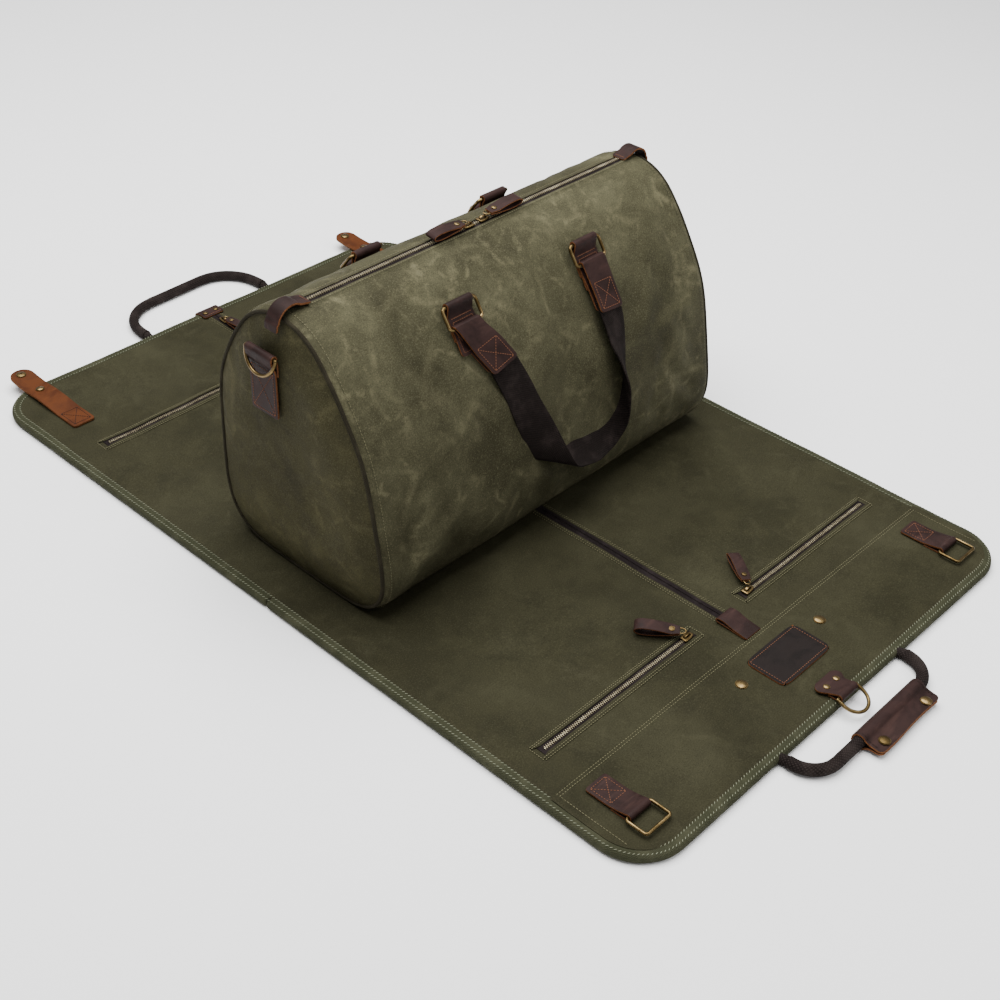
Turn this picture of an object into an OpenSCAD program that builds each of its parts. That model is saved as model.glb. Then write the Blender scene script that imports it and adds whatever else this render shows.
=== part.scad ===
// Garment weekender: a duffel standing on an opened garment panel with two folding wings.
// X runs along the duffel, Y from the near wing to the far wing, Z up. The floor is z = 0.

/* [Garment panel] */
// Width of the panel, along X
panel_w = 610; // [590:5:640]
// Length of the opened panel, along Y
panel_len = 960; // [940:5:1000]
// Thickness of the panel: two canvases and the padding between them
panel_t = 9; // [8:0.5:10]
// Radius of the panel's corners
corner_r = 52; // [30:1:70]
// Width of the woven binding tape around the edge
binding_w = 12; // [8:1:16]
// Fold line of the near wing, in front of the middle
near_fold = 128; // [124:1:136]
// Fold line of the far wing, behind the middle
far_fold = 140; // [138:1:150]
// Depth of the stitched band along the near edge
band_depth = 101; // [90:1:104]

/* [Duffel] */
// Overall length of the duffel
duffel_len = 530; // [520:5:540]
// Height of the duffel's ridge above the floor
ridge_z = 301; // [296:1:306]
// How far the duffel stands to the right of the panel's middle
duffel_x = 6; // [0:1:10]
// How far the ridge leans back from the middle
ridge_y = 25; // [20:1:28]
// Thickness of the duffel's outer canvas
duffel_wall = 3; // [2:0.5:4]

/* [Zips] */
// Distance from the middle to a pocket zip, along Y
pocket_y = 325; // [315:1:340]
// Length of a pocket zip
pocket_zip_len = 221; // [200:1:230]
// Length of the duffel's top zip
top_zip_len = 452; // [430:2:456]
// Length of a leather zip pull
pull_len = 50; // [40:1:55]

/* [Straps and handles] */
// Width of the duffel's handle webbing
webbing_w = 38; // [30:1:40]
// Half the distance between a duffel handle's two ends
handle_half = 91; // [85:1:95]
// Diameter of the panel's tubular handles
cord_d = 13; // [12:0.5:13]
// Width of the far wing's leather straps
strap_w = 28; // [24:1:30]

/* [Hidden] */
$fn = 32;

canvas_t = 1.6;
fold_gap = 0.6;
clear = 0.3;
half_w = panel_w / 2;
half_len = panel_len / 2;
band_t = 1.5;
band_top = panel_t + band_t;
band_y = half_len - binding_w;
zip_tape_w = 13;
zip_tape_t = 0.8;
teeth_w = 5.5;
teeth_t = 1.4;
teeth_top = panel_t + zip_tape_t + teeth_t;
zip_inner_x = 40;
slider_l = 15;
slider_w = 9;
slider_h = 4.5;
pull_w = 13;
pull_t = 3;
wire_r = 1.8;
ring_wire_r = 1.65;
loop_wall = 2.4;
near_tab_x = -6;
near_bar_y = -half_len + 2;
near_bar_z = 14.9;
near_ring_drop = 18;
near_tab_z = band_top + clear;
near_tab_t = 3.6;
near_tab_w = 26.5;
corner_x = 256;
corner_bar_y = -431;
corner_bar_z = 15;
cord_r = cord_d / 2;
cord_z = cord_r;
near_cord_x = -12;
near_cord_half = 99;
near_cord_reach = 31;
near_cord_bend = 30;
far_cord_x = 5;
far_cord_half = 92;
far_cord_reach = 62;
far_cord_bend = 48;
cord_root = 7;
wrap_x = 6;
wrap_len = 102;
wrap_y = -half_len - cord_root - near_cord_reach;
strap_x = 254;
strap_z = panel_t + clear;
strap_t = 3;
strap_hinge_y = 412;
leather = "#4a2a24";
tan_leather = "#9a5a30";
brass = "#8a7448";
canvas_green = "#4f4a2c";
duffel_green = "#6b6440";
webbing_brown = "#3a2a26";
base_z = panel_t + clear;

// ---- shared shapes ----

// Rounded rectangle seen from above, centred on the origin
module plate_outline(w, l, r) {
    square([w - 2 * r, l], center = true);
    square([w, l - 2 * r], center = true);
    for (sx = [-1, 1], sy = [-1, 1])
        translate([sx * (w / 2 - r), sy * (l / 2 - r)]) circle(r, $fn = 64);
}

// The part of the panel between two lines across it, from z0 up by h, inset from the edge
module panel_slice(y0, y1, inset, z0, h) {
    translate([0, 0, z0]) linear_extrude(h) intersection() {
        plate_outline(panel_w - 2 * inset, panel_len - 2 * inset, corner_r - inset);
        translate([-half_w, y0]) square([panel_w, y1 - y0]);
    }
}

module binding_slice(y0, y1) {
    color("#3c4230") linear_extrude(panel_t + 1) intersection() {
        difference() {
            plate_outline(panel_w, panel_len, corner_r);
            plate_outline(panel_w - 2 * binding_w, panel_len - 2 * binding_w,
                corner_r - binding_w);
        }
        translate([-half_w, y0]) square([panel_w, y1 - y0]);
    }
}

module front_slice(y0, y1) {
    color(canvas_green) panel_slice(y0, y1, binding_w, panel_t - canvas_t, canvas_t);
}

module back_slice(y0, y1) {
    color(canvas_green) panel_slice(y0, y1, binding_w, 0, canvas_t);
}

module padding_slice(y0, y1) {
    color("#c8c2b0")
        panel_slice(y0, y1, binding_w + 2, canvas_t, panel_t - 2 * canvas_t);
}

// A closed zip along X: tape and the raised row of teeth, lying on z
module zip_along_x(len, z) {
    translate([-len / 2, -zip_tape_w / 2, z]) cube([len, zip_tape_w, zip_tape_t]);
    translate([-len / 2 + 3, -teeth_w / 2, z + zip_tape_t])
        cube([len - 6, teeth_w, teeth_t]);
}

// A zip slider over the teeth at the origin, with its bridge; its nose points along +X
module slider(z) {
    color(brass) translate([0, 0, z + clear]) {
        translate([-slider_l / 2, -slider_w / 2, 0]) cube([slider_l - 4, slider_w, 2]);
        translate([slider_l / 2 - slider_w / 2, 0, 0]) cylinder(r = slider_w / 2, h = 2);
        translate([-5, -1.2, 2]) cube([9, 2.4, slider_h - 2]);
    }
}

// A leather pull that leaves a slider along +X; its hinge is at x = 0
module pull(z) {
    color(leather) translate([1, 0, z]) {
        translate([0, -pull_w / 2, 0])
            cube([pull_len - pull_w / 2 - 1, pull_w, pull_t]);
        translate([pull_len - pull_w / 2 - 1, 0, 0]) cylinder(r = pull_w / 2, h = pull_t);
    }
}

// A leather tube along X that holds a ring's bar
module bar_loop(len, bar_r) {
    rotate([0, 90, 0]) difference() {
        cylinder(r = bar_r + clear + loop_wall, h = len, center = true);
        cylinder(r = bar_r + clear, h = len + 2, center = true);
    }
}

// D-shaped ring: bar along X at the origin, legs and bow towards -Y
module d_ring(half, r, leg = 0) {
    rotate([0, 90, 0]) cylinder(r = r, h = 2 * half, center = true);
    translate([0, -leg, 0])
        rotate([0, 0, 180]) rotate_extrude(angle = 180) translate([half, 0]) circle(r);
    for (s = [-1, 1]) translate([s * half, 0, 0]) {
        sphere(r);
        if (leg > 0) rotate([90, 0, 0]) cylinder(r = r, h = leg);
    }
}

// Rectangular ring with rounded corners: one bar along X at the origin, the rest towards -Y
module box_ring(w, d, bend, r) {
    for (y = [0, -d]) translate([0, y, 0])
        rotate([0, 90, 0]) cylinder(r = r, h = w - 2 * bend, center = true);
    for (s = [-1, 1]) {
        translate([s * w / 2, -d / 2, 0])
            rotate([90, 0, 0]) cylinder(r = r, h = d - 2 * bend, center = true);
        translate([s * (w / 2 - bend), -bend, 0]) rotate([0, 0, s > 0 ? 0 : 90])
            rotate_extrude(angle = 90) translate([bend, 0]) circle(r);
        translate([s * (w / 2 - bend), -d + bend, 0]) rotate([0, 0, s > 0 ? -90 : 180])
            rotate_extrude(angle = 90) translate([bend, 0]) circle(r);
    }
}

// A round cord bent like a handle: two legs along +Y that start at y = 0, joined at y = reach
module cord_bow(half, reach, bend, r) {
    for (s = [-1, 1]) {
        translate([s * half, 0, 0]) sphere(r);
        translate([s * half, 0, 0]) rotate([-90, 0, 0]) cylinder(r = r, h = reach - bend);
        translate([s * (half - bend), reach - bend, 0])
            rotate([0, 0, s > 0 ? 0 : 90])
                rotate_extrude(angle = 90) translate([bend, 0]) circle(r);
    }
    translate([0, reach, 0])
        rotate([0, 90, 0]) cylinder(r = r, h = 2 * (half - bend), center = true);
}

// ---- garment panel: middle ----

module middle_front_canvas() front_slice(-near_fold, far_fold);

module middle_back_canvas() back_slice(-near_fold, far_fold);

module middle_padding() padding_slice(-near_fold, far_fold);

module middle_binding() binding_slice(-near_fold, far_fold);

// A stretch of the closed centre zip, which runs along Y
module centre_zip(y0, y1, h) {
    color(webbing_brown) translate([0, (y0 + y1) / 2, 0]) {
        translate([-zip_tape_w / 2, -(y1 - y0) / 2, panel_t])
            cube([zip_tape_w, y1 - y0, h]);
    }
}

module centre_zip_middle() {
    centre_zip(-near_fold + 6, far_fold - 6, clear / 2);
}

// ---- garment panel: near wing ----

near_y1 = -near_fold - fold_gap;

module near_front_canvas() front_slice(-half_len, near_y1);

module near_back_canvas() back_slice(-half_len, near_y1);

module near_padding() padding_slice(-half_len, near_y1);

module near_binding() binding_slice(-half_len, near_y1);

// Stitched band across the near edge, on top of the wing's canvas
module near_band() {
    color(canvas_green)
        panel_slice(-half_len, -band_y + band_depth, binding_w + clear, panel_t, band_t);
}

module near_pocket_zips() {
    color(brass) for (s = [-1, 1])
        translate([s * (zip_inner_x + pocket_zip_len / 2), -pocket_y, 0])
            zip_along_x(pocket_zip_len, panel_t);
}

module centre_zip_near() centre_zip(-345, near_y1 - 6, zip_tape_t + teeth_t);

// Leather tab that covers the end of the centre zip
module centre_zip_tab() {
    color(leather) translate([0, 0, teeth_top]) linear_extrude(2)
        polygon([[-10, -331], [10, -331], [15, -350], [15, -366], [-15, -366],
            [-15, -350]]);
}

module leather_patch() {
    color(leather) translate([0, -409, band_top]) linear_extrude(2)
        plate_outline(79, 46, 2);
}

// Two snap caps on the band and the two rivets of the edge tab
module near_studs() {
    color(brass) {
        for (s = [-1, 1]) translate([s * 65, -401, band_top]) cylinder(r = 6, h = 2.5);
        for (s = [-1, 1]) translate([near_tab_x + s * 8, -461, near_tab_z + near_tab_t])
            cylinder(r = 3.2, h = 1.4);
    }
}

// Leather tab folded round the D-ring's bar and riveted to the near edge
module near_edge_tab() {
    color(leather) translate([near_tab_x, 0, 0]) {
        translate([0, near_bar_y, near_bar_z]) bar_loop(near_tab_w, wire_r);
        translate([-near_tab_w / 2, near_bar_y + wire_r + clear, near_tab_z])
            cube([near_tab_w, -454 - near_bar_y - wire_r - clear, near_tab_t]);
    }
}

module near_edge_ring() {
    color(brass) translate([near_tab_x, near_bar_y, near_bar_z])
        rotate([near_ring_drop, 0, 0]) d_ring(15.5, wire_r, 8);
}

module corner_ring_tabs() {
    color(leather) for (s = [-1, 1]) translate([s * corner_x, 0, 0]) {
        translate([0, corner_bar_y, corner_bar_z]) bar_loop(27, ring_wire_r);
        translate([-13.5, corner_bar_y + ring_wire_r + clear, band_top])
            cube([27, -383 - corner_bar_y - ring_wire_r - clear, loop_wall]);
        translate([-13.5, corner_bar_y + ring_wire_r + clear, band_top])
            cube([27, loop_wall, corner_bar_z - band_top]);
    }
}

module corner_ring(s) {
    color(brass) translate([s * corner_x, corner_bar_y, corner_bar_z])
        box_ring(33, 23, 3, ring_wire_r);
}

module near_handle_cord() {
    color(webbing_brown) translate([near_cord_x, -half_len - cord_root, cord_z])
        mirror([0, 1, 0]) cord_bow(near_cord_half, near_cord_reach, near_cord_bend, cord_r);
}

// Leather sleeve under the handle cord, with the lower leaf of its closure
wrap_in = cord_r + 0.05;
wrap_out = wrap_in + 2.2;
wrap_leaf = 24;
leaf_t = 2.6;

module wrap_half(up) {
    translate([wrap_x, wrap_y, cord_z]) rotate([0, 90, 0])
        translate([0, 0, -wrap_len / 2]) linear_extrude(wrap_len) union() {
            intersection() {
                difference() {
                    circle(wrap_out, $fn = 64);
                    circle(wrap_in, $fn = 64);
                }
                translate([up ? -20.15 : 0.15, -20]) square([20, 40]);
            }
            translate([up ? -leaf_t - 0.15 : 0.15, -wrap_leaf])
                square([leaf_t, wrap_leaf - wrap_in - 0.4]);
        }
}

module handle_wrap() {
    color(leather) wrap_half(false);
}

module handle_wrap_flap() {
    color(leather) wrap_half(true);
}

module handle_wrap_snaps() {
    color(brass) for (s = [-1, 1])
        translate([wrap_x + s * 36, wrap_y - 17, cord_z + leaf_t + 0.15])
            cylinder(r = 5.5, h = 2);
}

module near_left_slider() {
    translate([-zip_inner_x - 10, -pocket_y, 0]) slider(teeth_top);
}

module near_right_slider() {
    translate([zip_inner_x + 10, -pocket_y, 0]) slider(teeth_top);
}

near_pull_turn = 55;
pull_z = teeth_top + clear + slider_h + clear;

module near_left_pull() {
    translate([-zip_inner_x - 10, -pocket_y, 0]) rotate(180 - near_pull_turn) pull(pull_z);
}

module near_right_pull() {
    translate([zip_inner_x + 10, -pocket_y, 0]) rotate(near_pull_turn) pull(pull_z);
}

// ---- garment panel: far wing ----

far_y0 = far_fold + fold_gap;

module far_front_canvas() front_slice(far_y0, half_len);

module far_back_canvas() back_slice(far_y0, half_len);

module far_padding() padding_slice(far_y0, half_len);

module far_binding() binding_slice(far_y0, half_len);

module far_pocket_zips() {
    color(brass) for (s = [-1, 1])
        translate([s * (zip_inner_x + pocket_zip_len / 2), pocket_y, 0])
            zip_along_x(pocket_zip_len, panel_t);
}

module centre_zip_far() centre_zip(far_y0 + 6, 462, zip_tape_t + teeth_t);

// Leather tab folded over the far edge, with its two rivets
module far_edge_tab() {
    color(leather) translate([-15, 464, panel_t + 2.4]) cube([30, 18, 2]);
    color(leather) translate([-15, half_len, 1]) cube([30, 2, panel_t + 1.4]);
    color(brass) for (s = [-1, 1]) translate([s * 8, 471, panel_t + 4.4])
        cylinder(r = 3.2, h = 1.2);
}

// The sewn ends of the two leather straps
module far_strap_bases() {
    color(tan_leather) for (s = [-1, 1])
        translate([s * strap_x - strap_w / 2, 374, panel_t])
            cube([strap_w, strap_hinge_y - 374 - 2.8, strap_t]);
}

// The loose end of a strap, with a stud and an eyelet snap on it
module far_strap(s) {
    translate([s * strap_x, 0, panel_t + 1 + clear]) {
        color(tan_leather) translate([-strap_w / 2, strap_hinge_y + 0.5, 0])
            cube([strap_w, 85, strap_t]);
        color(tan_leather) translate([0, strap_hinge_y + 85.5, 0])
            cylinder(r = strap_w / 2, h = strap_t);
        color(brass) for (y = [462, 500]) translate([0, y, strap_t])
            cylinder(r = 5.5, h = 1.8);
    }
}

module far_handle_cord() {
    color(webbing_brown) translate([far_cord_x, half_len + cord_root, cord_z])
        cord_bow(far_cord_half, far_cord_reach, far_cord_bend, cord_r);
}

// A slider of the far wing with its leather pull lying along the zip's near side
module far_slider(s) {
    translate([s * (zip_inner_x + 10), pocket_y, 0]) {
        slider(teeth_top);
        rotate(s > 0 ? -near_pull_turn : 180 + near_pull_turn) pull(teeth_top + clear + 2);
    }
}

module far_left_slider() far_slider(-1);

module far_right_slider() far_slider(1);

module centre_slider() {
    translate([0, 444, 0]) rotate(90) {
        slider(teeth_top);
        rotate(180) pull(teeth_top + clear + 2);
    }
}

// ---- duffel ----

duffel_half = duffel_len / 2;
seam_x = duffel_half - 13;
shoulder_x = seam_x - 16;
end_inset = 5;

// Cross-section seen from the right end (Y across, Z up), shrunk by inset all round
module duffel_section(inset) {
    hull() {
        translate([-70, base_z + 42]) circle(42 - inset, $fn = 48);
        translate([75, base_z + 50]) circle(50 - inset, $fn = 48);
        translate([58, ridge_z - 120]) circle(66 - inset, $fn = 48);
        translate([ridge_y, ridge_z - 72]) circle(72 - inset, $fn = 64);
        translate([-10, ridge_z - 142]) circle(80 - inset, $fn = 48);
    }
}

// The section standing at x, thickness t towards +X
module section_at(x, inset, t) {
    translate([duffel_x + x, 0, 0]) rotate([90, 0, 90]) linear_extrude(t)
        duffel_section(inset);
}

// The closed form of the body between the two end seams, shrunk by inset
module duffel_form(inset) {
    hull() {
        section_at(-seam_x, inset + end_inset, 0.1);
        section_at(-shoulder_x, inset, 2 * shoulder_x);
        section_at(seam_x - 0.1, inset + end_inset, 0.1);
    }
}

// Canvas wrapped round the front, ridge, rear and base, open along the top zip
module duffel_body() {
    color(duffel_green) difference() {
        duffel_form(0);
        hull() {
            section_at(-seam_x - 1, duffel_wall + end_inset, 0.1);
            section_at(-shoulder_x, duffel_wall, 2 * shoulder_x);
            section_at(seam_x + 1, duffel_wall + end_inset, 0.1);
        }
        translate([duffel_x - top_zip_len / 2, ridge_y - zip_tape_w / 2, ridge_z - 20])
            cube([top_zip_len, zip_tape_w, 40]);
    }
}

// Two crowned end panels
module duffel_ends() {
    color(duffel_green) for (s = [0, 1])
        translate([2 * duffel_x * s, 0, 0]) mirror([s, 0, 0]) difference() {
            crown(0);
            translate([duffel_wall, 0, 0]) crown(duffel_wall);
        }
}

// The domed form of an end panel, shrunk by inset
module crown(inset) {
    hull() {
        section_at(-seam_x - 2.5, end_inset + 3 + inset, 2);
        section_at(-seam_x - 9, end_inset + 14 + inset, 2);
        section_at(-duffel_half, end_inset + 34 + inset, 2);
    }
}

// Piping sewn into the two end seams
module duffel_piping() {
    color("#2a2620") for (s = [0, 1])
        translate([2 * duffel_x * s, 0, 0]) mirror([s, 0, 0])
            difference() {
                section_at(-seam_x - 3.2, end_inset - 2.2, 3);
                section_at(-seam_x - 4, end_inset + 2.8, 5);
            }
}

// Stiff board on the floor of the duffel, above the lining
module duffel_base_board() {
    color("#3b3430")
        translate([duffel_x - 235, -66, base_z + duffel_wall + 2]) cube([470, 140, 3]);
}

// Thin lining that stands just inside the canvas
module duffel_lining() {
    color("#5a4a3a") difference() {
        section_at(-shoulder_x, duffel_wall + clear, 2 * shoulder_x);
        section_at(-shoulder_x - 1, duffel_wall + clear + 1, 2 * shoulder_x + 2);
        translate([duffel_x - top_zip_len / 2, ridge_y - zip_tape_w / 2, ridge_z - 20])
            cube([top_zip_len, zip_tape_w, 40]);
    }
}

top_tape_z = ridge_z - 2;

module top_zip() {
    color(brass) translate([duffel_x, ridge_y, 0])
        zip_along_x(top_zip_len - 0.4, top_tape_z);
    color(webbing_brown) translate([duffel_x, ridge_y, top_tape_z - 1.5])
        cube([top_zip_len - 0.4, zip_tape_w - 0.4, 3], center = true);
}

top_teeth_top = top_tape_z + zip_tape_t + teeth_t;

end_tab_y = 34;
end_bar_z = 262;
end_bar_x = duffel_half + 5;

// Leather loops at the ends of the top zip, and the tabs that hold the end rings
module duffel_end_leathers() {
    color(leather) for (s = [-1, 1]) translate([duffel_x, 0, 0]) {
        translate([s * 244, ridge_y, ridge_z]) rotate([90, 0, 0])
            translate([0, 0, -8]) linear_extrude(16) {
                difference() {
                    translate([0, -9]) circle(19, $fn = 64);
                    translate([0, -9]) circle(16.4, $fn = 64);
                    translate([-20, -30]) square([40, 30.3]);
                }
                translate([s * 15.2 - 1.3, -13.6]) square([2.6, 14.6]);
            }
        translate([s * end_bar_x, end_tab_y, end_bar_z]) rotate(90)
            bar_loop(36, wire_r);
        translate([s * (end_bar_x - 3) - 1.5, end_tab_y - 18, end_bar_z - 66])
            cube([3, 36, 63.2]);
    }
}

module end_ring(s) {
    color(brass) translate([duffel_x + s * end_bar_x, end_tab_y, end_bar_z])
        rotate([0, s * -14, 0]) rotate([0, 90, 0]) rotate(s > 0 ? 90 : 90)
            d_ring(21, wire_r);
}

module top_left_slider() {
    translate([duffel_x - 11, ridge_y, 0]) rotate(180) slider(top_teeth_top);
}

module top_right_slider() {
    translate([duffel_x + 11, ridge_y, 0]) slider(top_teeth_top);
}

top_pull_z = top_teeth_top + clear + slider_h + clear;

module top_left_pull() {
    translate([duffel_x - 14, ridge_y, 0]) rotate(180) pull(top_pull_z);
}

module top_right_pull() {
    translate([duffel_x + 14, ridge_y, 0]) pull(top_pull_z);
}

// Handle geometry, in the Y-Z plane: the bar in the anchor loop and the bar in the strap
front_bar = [-41, 276];
front_tilt = 35;
rear_bar = [86, 281];
rear_tilt = 38;
ring_drop = 22;
front_low = front_bar + ring_drop * [-sin(front_tilt), -cos(front_tilt)];
rear_low = rear_bar + ring_drop * [sin(rear_tilt), -cos(rear_tilt)];
ring_w = webbing_w + 6;
web_t = 4;

// A leather anchor: loop round the ring's bar, and the tail sewn to the canvas below it
module anchor(bar, side, tail) {
    translate([0, bar[0], bar[1]]) {
        bar_loop(webbing_w - 4, wire_r);
        rotate([side * tail, 0, 0])
            translate([-(webbing_w - 4) / 2, -side * 4.8 - loop_wall / 2, -50])
                cube([webbing_w - 4, loop_wall, 48.6]);
    }
}

module handle_loops() {
    color(leather) for (s = [-1, 1]) translate([duffel_x + s * handle_half, 0, 0]) {
        anchor(front_bar, -1, front_tilt - 4);
        anchor(rear_bar, 1, rear_tilt - 6);
    }
}

module handle_rings(bar, tilt, side) {
    color(brass) for (s = [-1, 1])
        translate([duffel_x + s * handle_half, bar[0], bar[1]])
            rotate([side * tilt, 0, 0]) rotate([90, 0, 0])
                box_ring(ring_w, ring_drop, 4, wire_r);
}

module front_handle_rings() handle_rings(front_bar, front_tilt, -1);

module rear_handle_rings() handle_rings(rear_bar, rear_tilt, 1);

// U-shaped band seen from the front: legs from z_top down, round at the bottom
module strap_face(z_top, z_bottom, w) {
    bow = handle_half;
    difference() {
        union() {
            translate([-bow - w / 2, z_bottom + bow + w / 2])
                square([2 * bow + w, z_top - z_bottom - bow - w / 2]);
            translate([0, z_bottom + bow + w / 2]) circle(bow + w / 2, $fn = 72);
        }
        translate([-bow + w / 2, z_bottom + bow + w / 2])
            square([2 * bow - w, z_top]);
        translate([0, z_bottom + bow + w / 2]) circle(bow - w / 2, $fn = 72);
    }
}

// A band of thickness web_t through the side-view points, outside of them on side s
module strap_side(points, s) {
    outer = [for (i = [len(points) - 1 : -1 : 0]) points[i] + [s * web_t, 0]];
    polygon(concat(points, outer));
}

module handle_strap(low, points, side, z_bottom) {
    color(webbing_brown) {
        intersection() {
            translate([duffel_x, 300, 0]) rotate([90, 0, 0]) linear_extrude(600)
                strap_face(low[1] + 1, z_bottom, webbing_w - 6);
            translate([duffel_x - 160, 0, 0]) rotate([90, 0, 90]) linear_extrude(320)
                strap_side(points, side);
        }
    }
    color(leather) for (s = [-1, 1])
        translate([duffel_x + s * handle_half, low[0], low[1]])
            bar_loop(webbing_w - 6, wire_r);
}

module front_handle_strap() {
    handle_strap(front_low,
        [[-56.2, 260], [-86.5, 200], [-95, 165], [-97, 140], [-116, 62], [-117, 40]],
        -1, 58);
}

module rear_handle_strap() {
    handle_strap(rear_low,
        [[101.5, 266], [129.2, 196], [129.2, 40]],
        1, 60);
}

middle_front_canvas();
middle_back_canvas();
middle_padding();
middle_binding();
centre_zip_middle();
near_front_canvas();
near_back_canvas();
near_padding();
near_binding();
near_band();
near_pocket_zips();
centre_zip_near();
centre_zip_tab();
leather_patch();
near_studs();
near_edge_tab();
corner_ring_tabs();
near_edge_ring();
corner_ring(-1);  // corner_ring_left
corner_ring(1);  // corner_ring_right
near_handle_cord();
handle_wrap();
handle_wrap_flap();
handle_wrap_snaps();
near_left_slider();
near_right_slider();
near_left_pull();
near_right_pull();
far_front_canvas();
far_back_canvas();
far_padding();
far_binding();
far_pocket_zips();
centre_zip_far();
far_edge_tab();
far_strap_bases();
far_strap(-1);  // far_strap_left
far_strap(1);  // far_strap_right
far_handle_cord();
far_left_slider();
far_right_slider();
centre_slider();
duffel_body();
duffel_ends();
duffel_base_board();
duffel_lining();
duffel_piping();
top_zip();
duffel_end_leathers();
handle_loops();
top_left_slider();
top_right_slider();
top_left_pull();
top_right_pull();
end_ring(-1);  // end_ring_left
end_ring(1);  // end_ring_right
front_handle_rings();
front_handle_strap();
rear_handle_rings();
rear_handle_strap();
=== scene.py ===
"""Looks for the garment weekender: a duffel standing on an opened garment panel.

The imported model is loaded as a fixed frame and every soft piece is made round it.
Lengths are in millimetres here, and become metres as each mesh is laid out.
"""

import math

import bpy
import numpy as np
from mathutils import Matrix, Vector, noise


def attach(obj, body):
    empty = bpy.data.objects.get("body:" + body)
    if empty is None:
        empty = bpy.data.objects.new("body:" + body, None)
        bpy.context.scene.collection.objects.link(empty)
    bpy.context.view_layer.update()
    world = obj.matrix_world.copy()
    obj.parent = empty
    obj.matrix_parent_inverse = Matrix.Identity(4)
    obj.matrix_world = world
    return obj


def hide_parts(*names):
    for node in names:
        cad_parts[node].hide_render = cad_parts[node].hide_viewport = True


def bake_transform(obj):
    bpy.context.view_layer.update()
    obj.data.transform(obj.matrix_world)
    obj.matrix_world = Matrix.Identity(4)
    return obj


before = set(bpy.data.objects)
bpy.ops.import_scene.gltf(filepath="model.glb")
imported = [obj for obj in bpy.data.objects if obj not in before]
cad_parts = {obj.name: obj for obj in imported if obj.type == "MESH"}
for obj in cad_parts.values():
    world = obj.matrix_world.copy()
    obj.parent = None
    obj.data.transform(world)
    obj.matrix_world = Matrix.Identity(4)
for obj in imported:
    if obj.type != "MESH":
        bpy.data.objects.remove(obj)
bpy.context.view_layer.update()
bpy.ops.object.select_all(action="DESELECT")

MM = 0.001
UP = np.array([0.0, 0.0, 1.0])

# ---- camera, floor and light ----


CAMERA_PLACE = (-1.0026, -0.9207, 1.0106)
CAMERA_RIGHT = (0.68469, -0.72785, 0.03794)
CAMERA_DOWN = (-0.42090, -0.43736, -0.79471)
CAMERA_AHEAD = (0.59502, 0.52816, -0.60581)
LENS_MM, SENSOR_MM = 55.39, 36


def place_camera():
    bpy.ops.object.camera_add(location=CAMERA_PLACE)
    camera = bpy.context.object
    axes = zip(CAMERA_RIGHT, CAMERA_DOWN, CAMERA_AHEAD)
    camera.rotation_euler = Matrix([(right, -down, -ahead) for right, down, ahead in axes]).to_euler()
    camera.data.lens = LENS_MM
    camera.data.sensor_width = SENSOR_MM
    camera.data.clip_end = 30
    bpy.context.scene.camera = camera


def lay_floor():
    bpy.ops.mesh.primitive_plane_add(size=16, location=(0, 0, -0.0005))
    floor = bpy.context.object
    floor.name = "studio_floor"
    paper = bpy.data.materials.new("studio_paper")
    paper.use_nodes = True
    shader = paper.node_tree.nodes["Principled BSDF"]
    shader.inputs["Base Color"].default_value = (0.98, 0.98, 0.98, 1)
    shader.inputs["Roughness"].default_value = 0.9
    shader.inputs["Specular IOR Level"].default_value = 0.1
    floor.data.materials.append(paper)


def soft_box(name, place, aim, size, power):
    bpy.ops.object.light_add(type="AREA", location=place)
    lamp = bpy.context.object
    lamp.name = name
    lamp.data.shape = "RECTANGLE"
    lamp.data.size, lamp.data.size_y = size
    lamp.data.energy = power
    toward = Vector([aim[i] - place[i] for i in range(3)])
    lamp.rotation_euler = toward.to_track_quat("-Z", "Y").to_euler()


def set_lights():
    world = bpy.data.worlds.new("studio_air")
    bpy.context.scene.world = world
    world.use_nodes = True
    air = world.node_tree.nodes["Background"]
    air.inputs["Color"].default_value = (1, 1, 1, 1)
    air.inputs["Strength"].default_value = 0.4
    soft_box("top_soft_box", (0.0, 0.35, 2.2), (0, 0, 0), (2.4, 2.4), 150)
    soft_box("side_soft_box", (0.7, -1.9, 1.7), (0, 0, 0.1), (1.2, 1.2), 18)


place_camera()
lay_floor()
set_lights()

# ---- finishes ----

# how strongly a dry, waxed or woven surface mirrors the studio, and oiled leather
SHEEN, LEATHER_SHEEN = 0.06, 0.09


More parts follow.
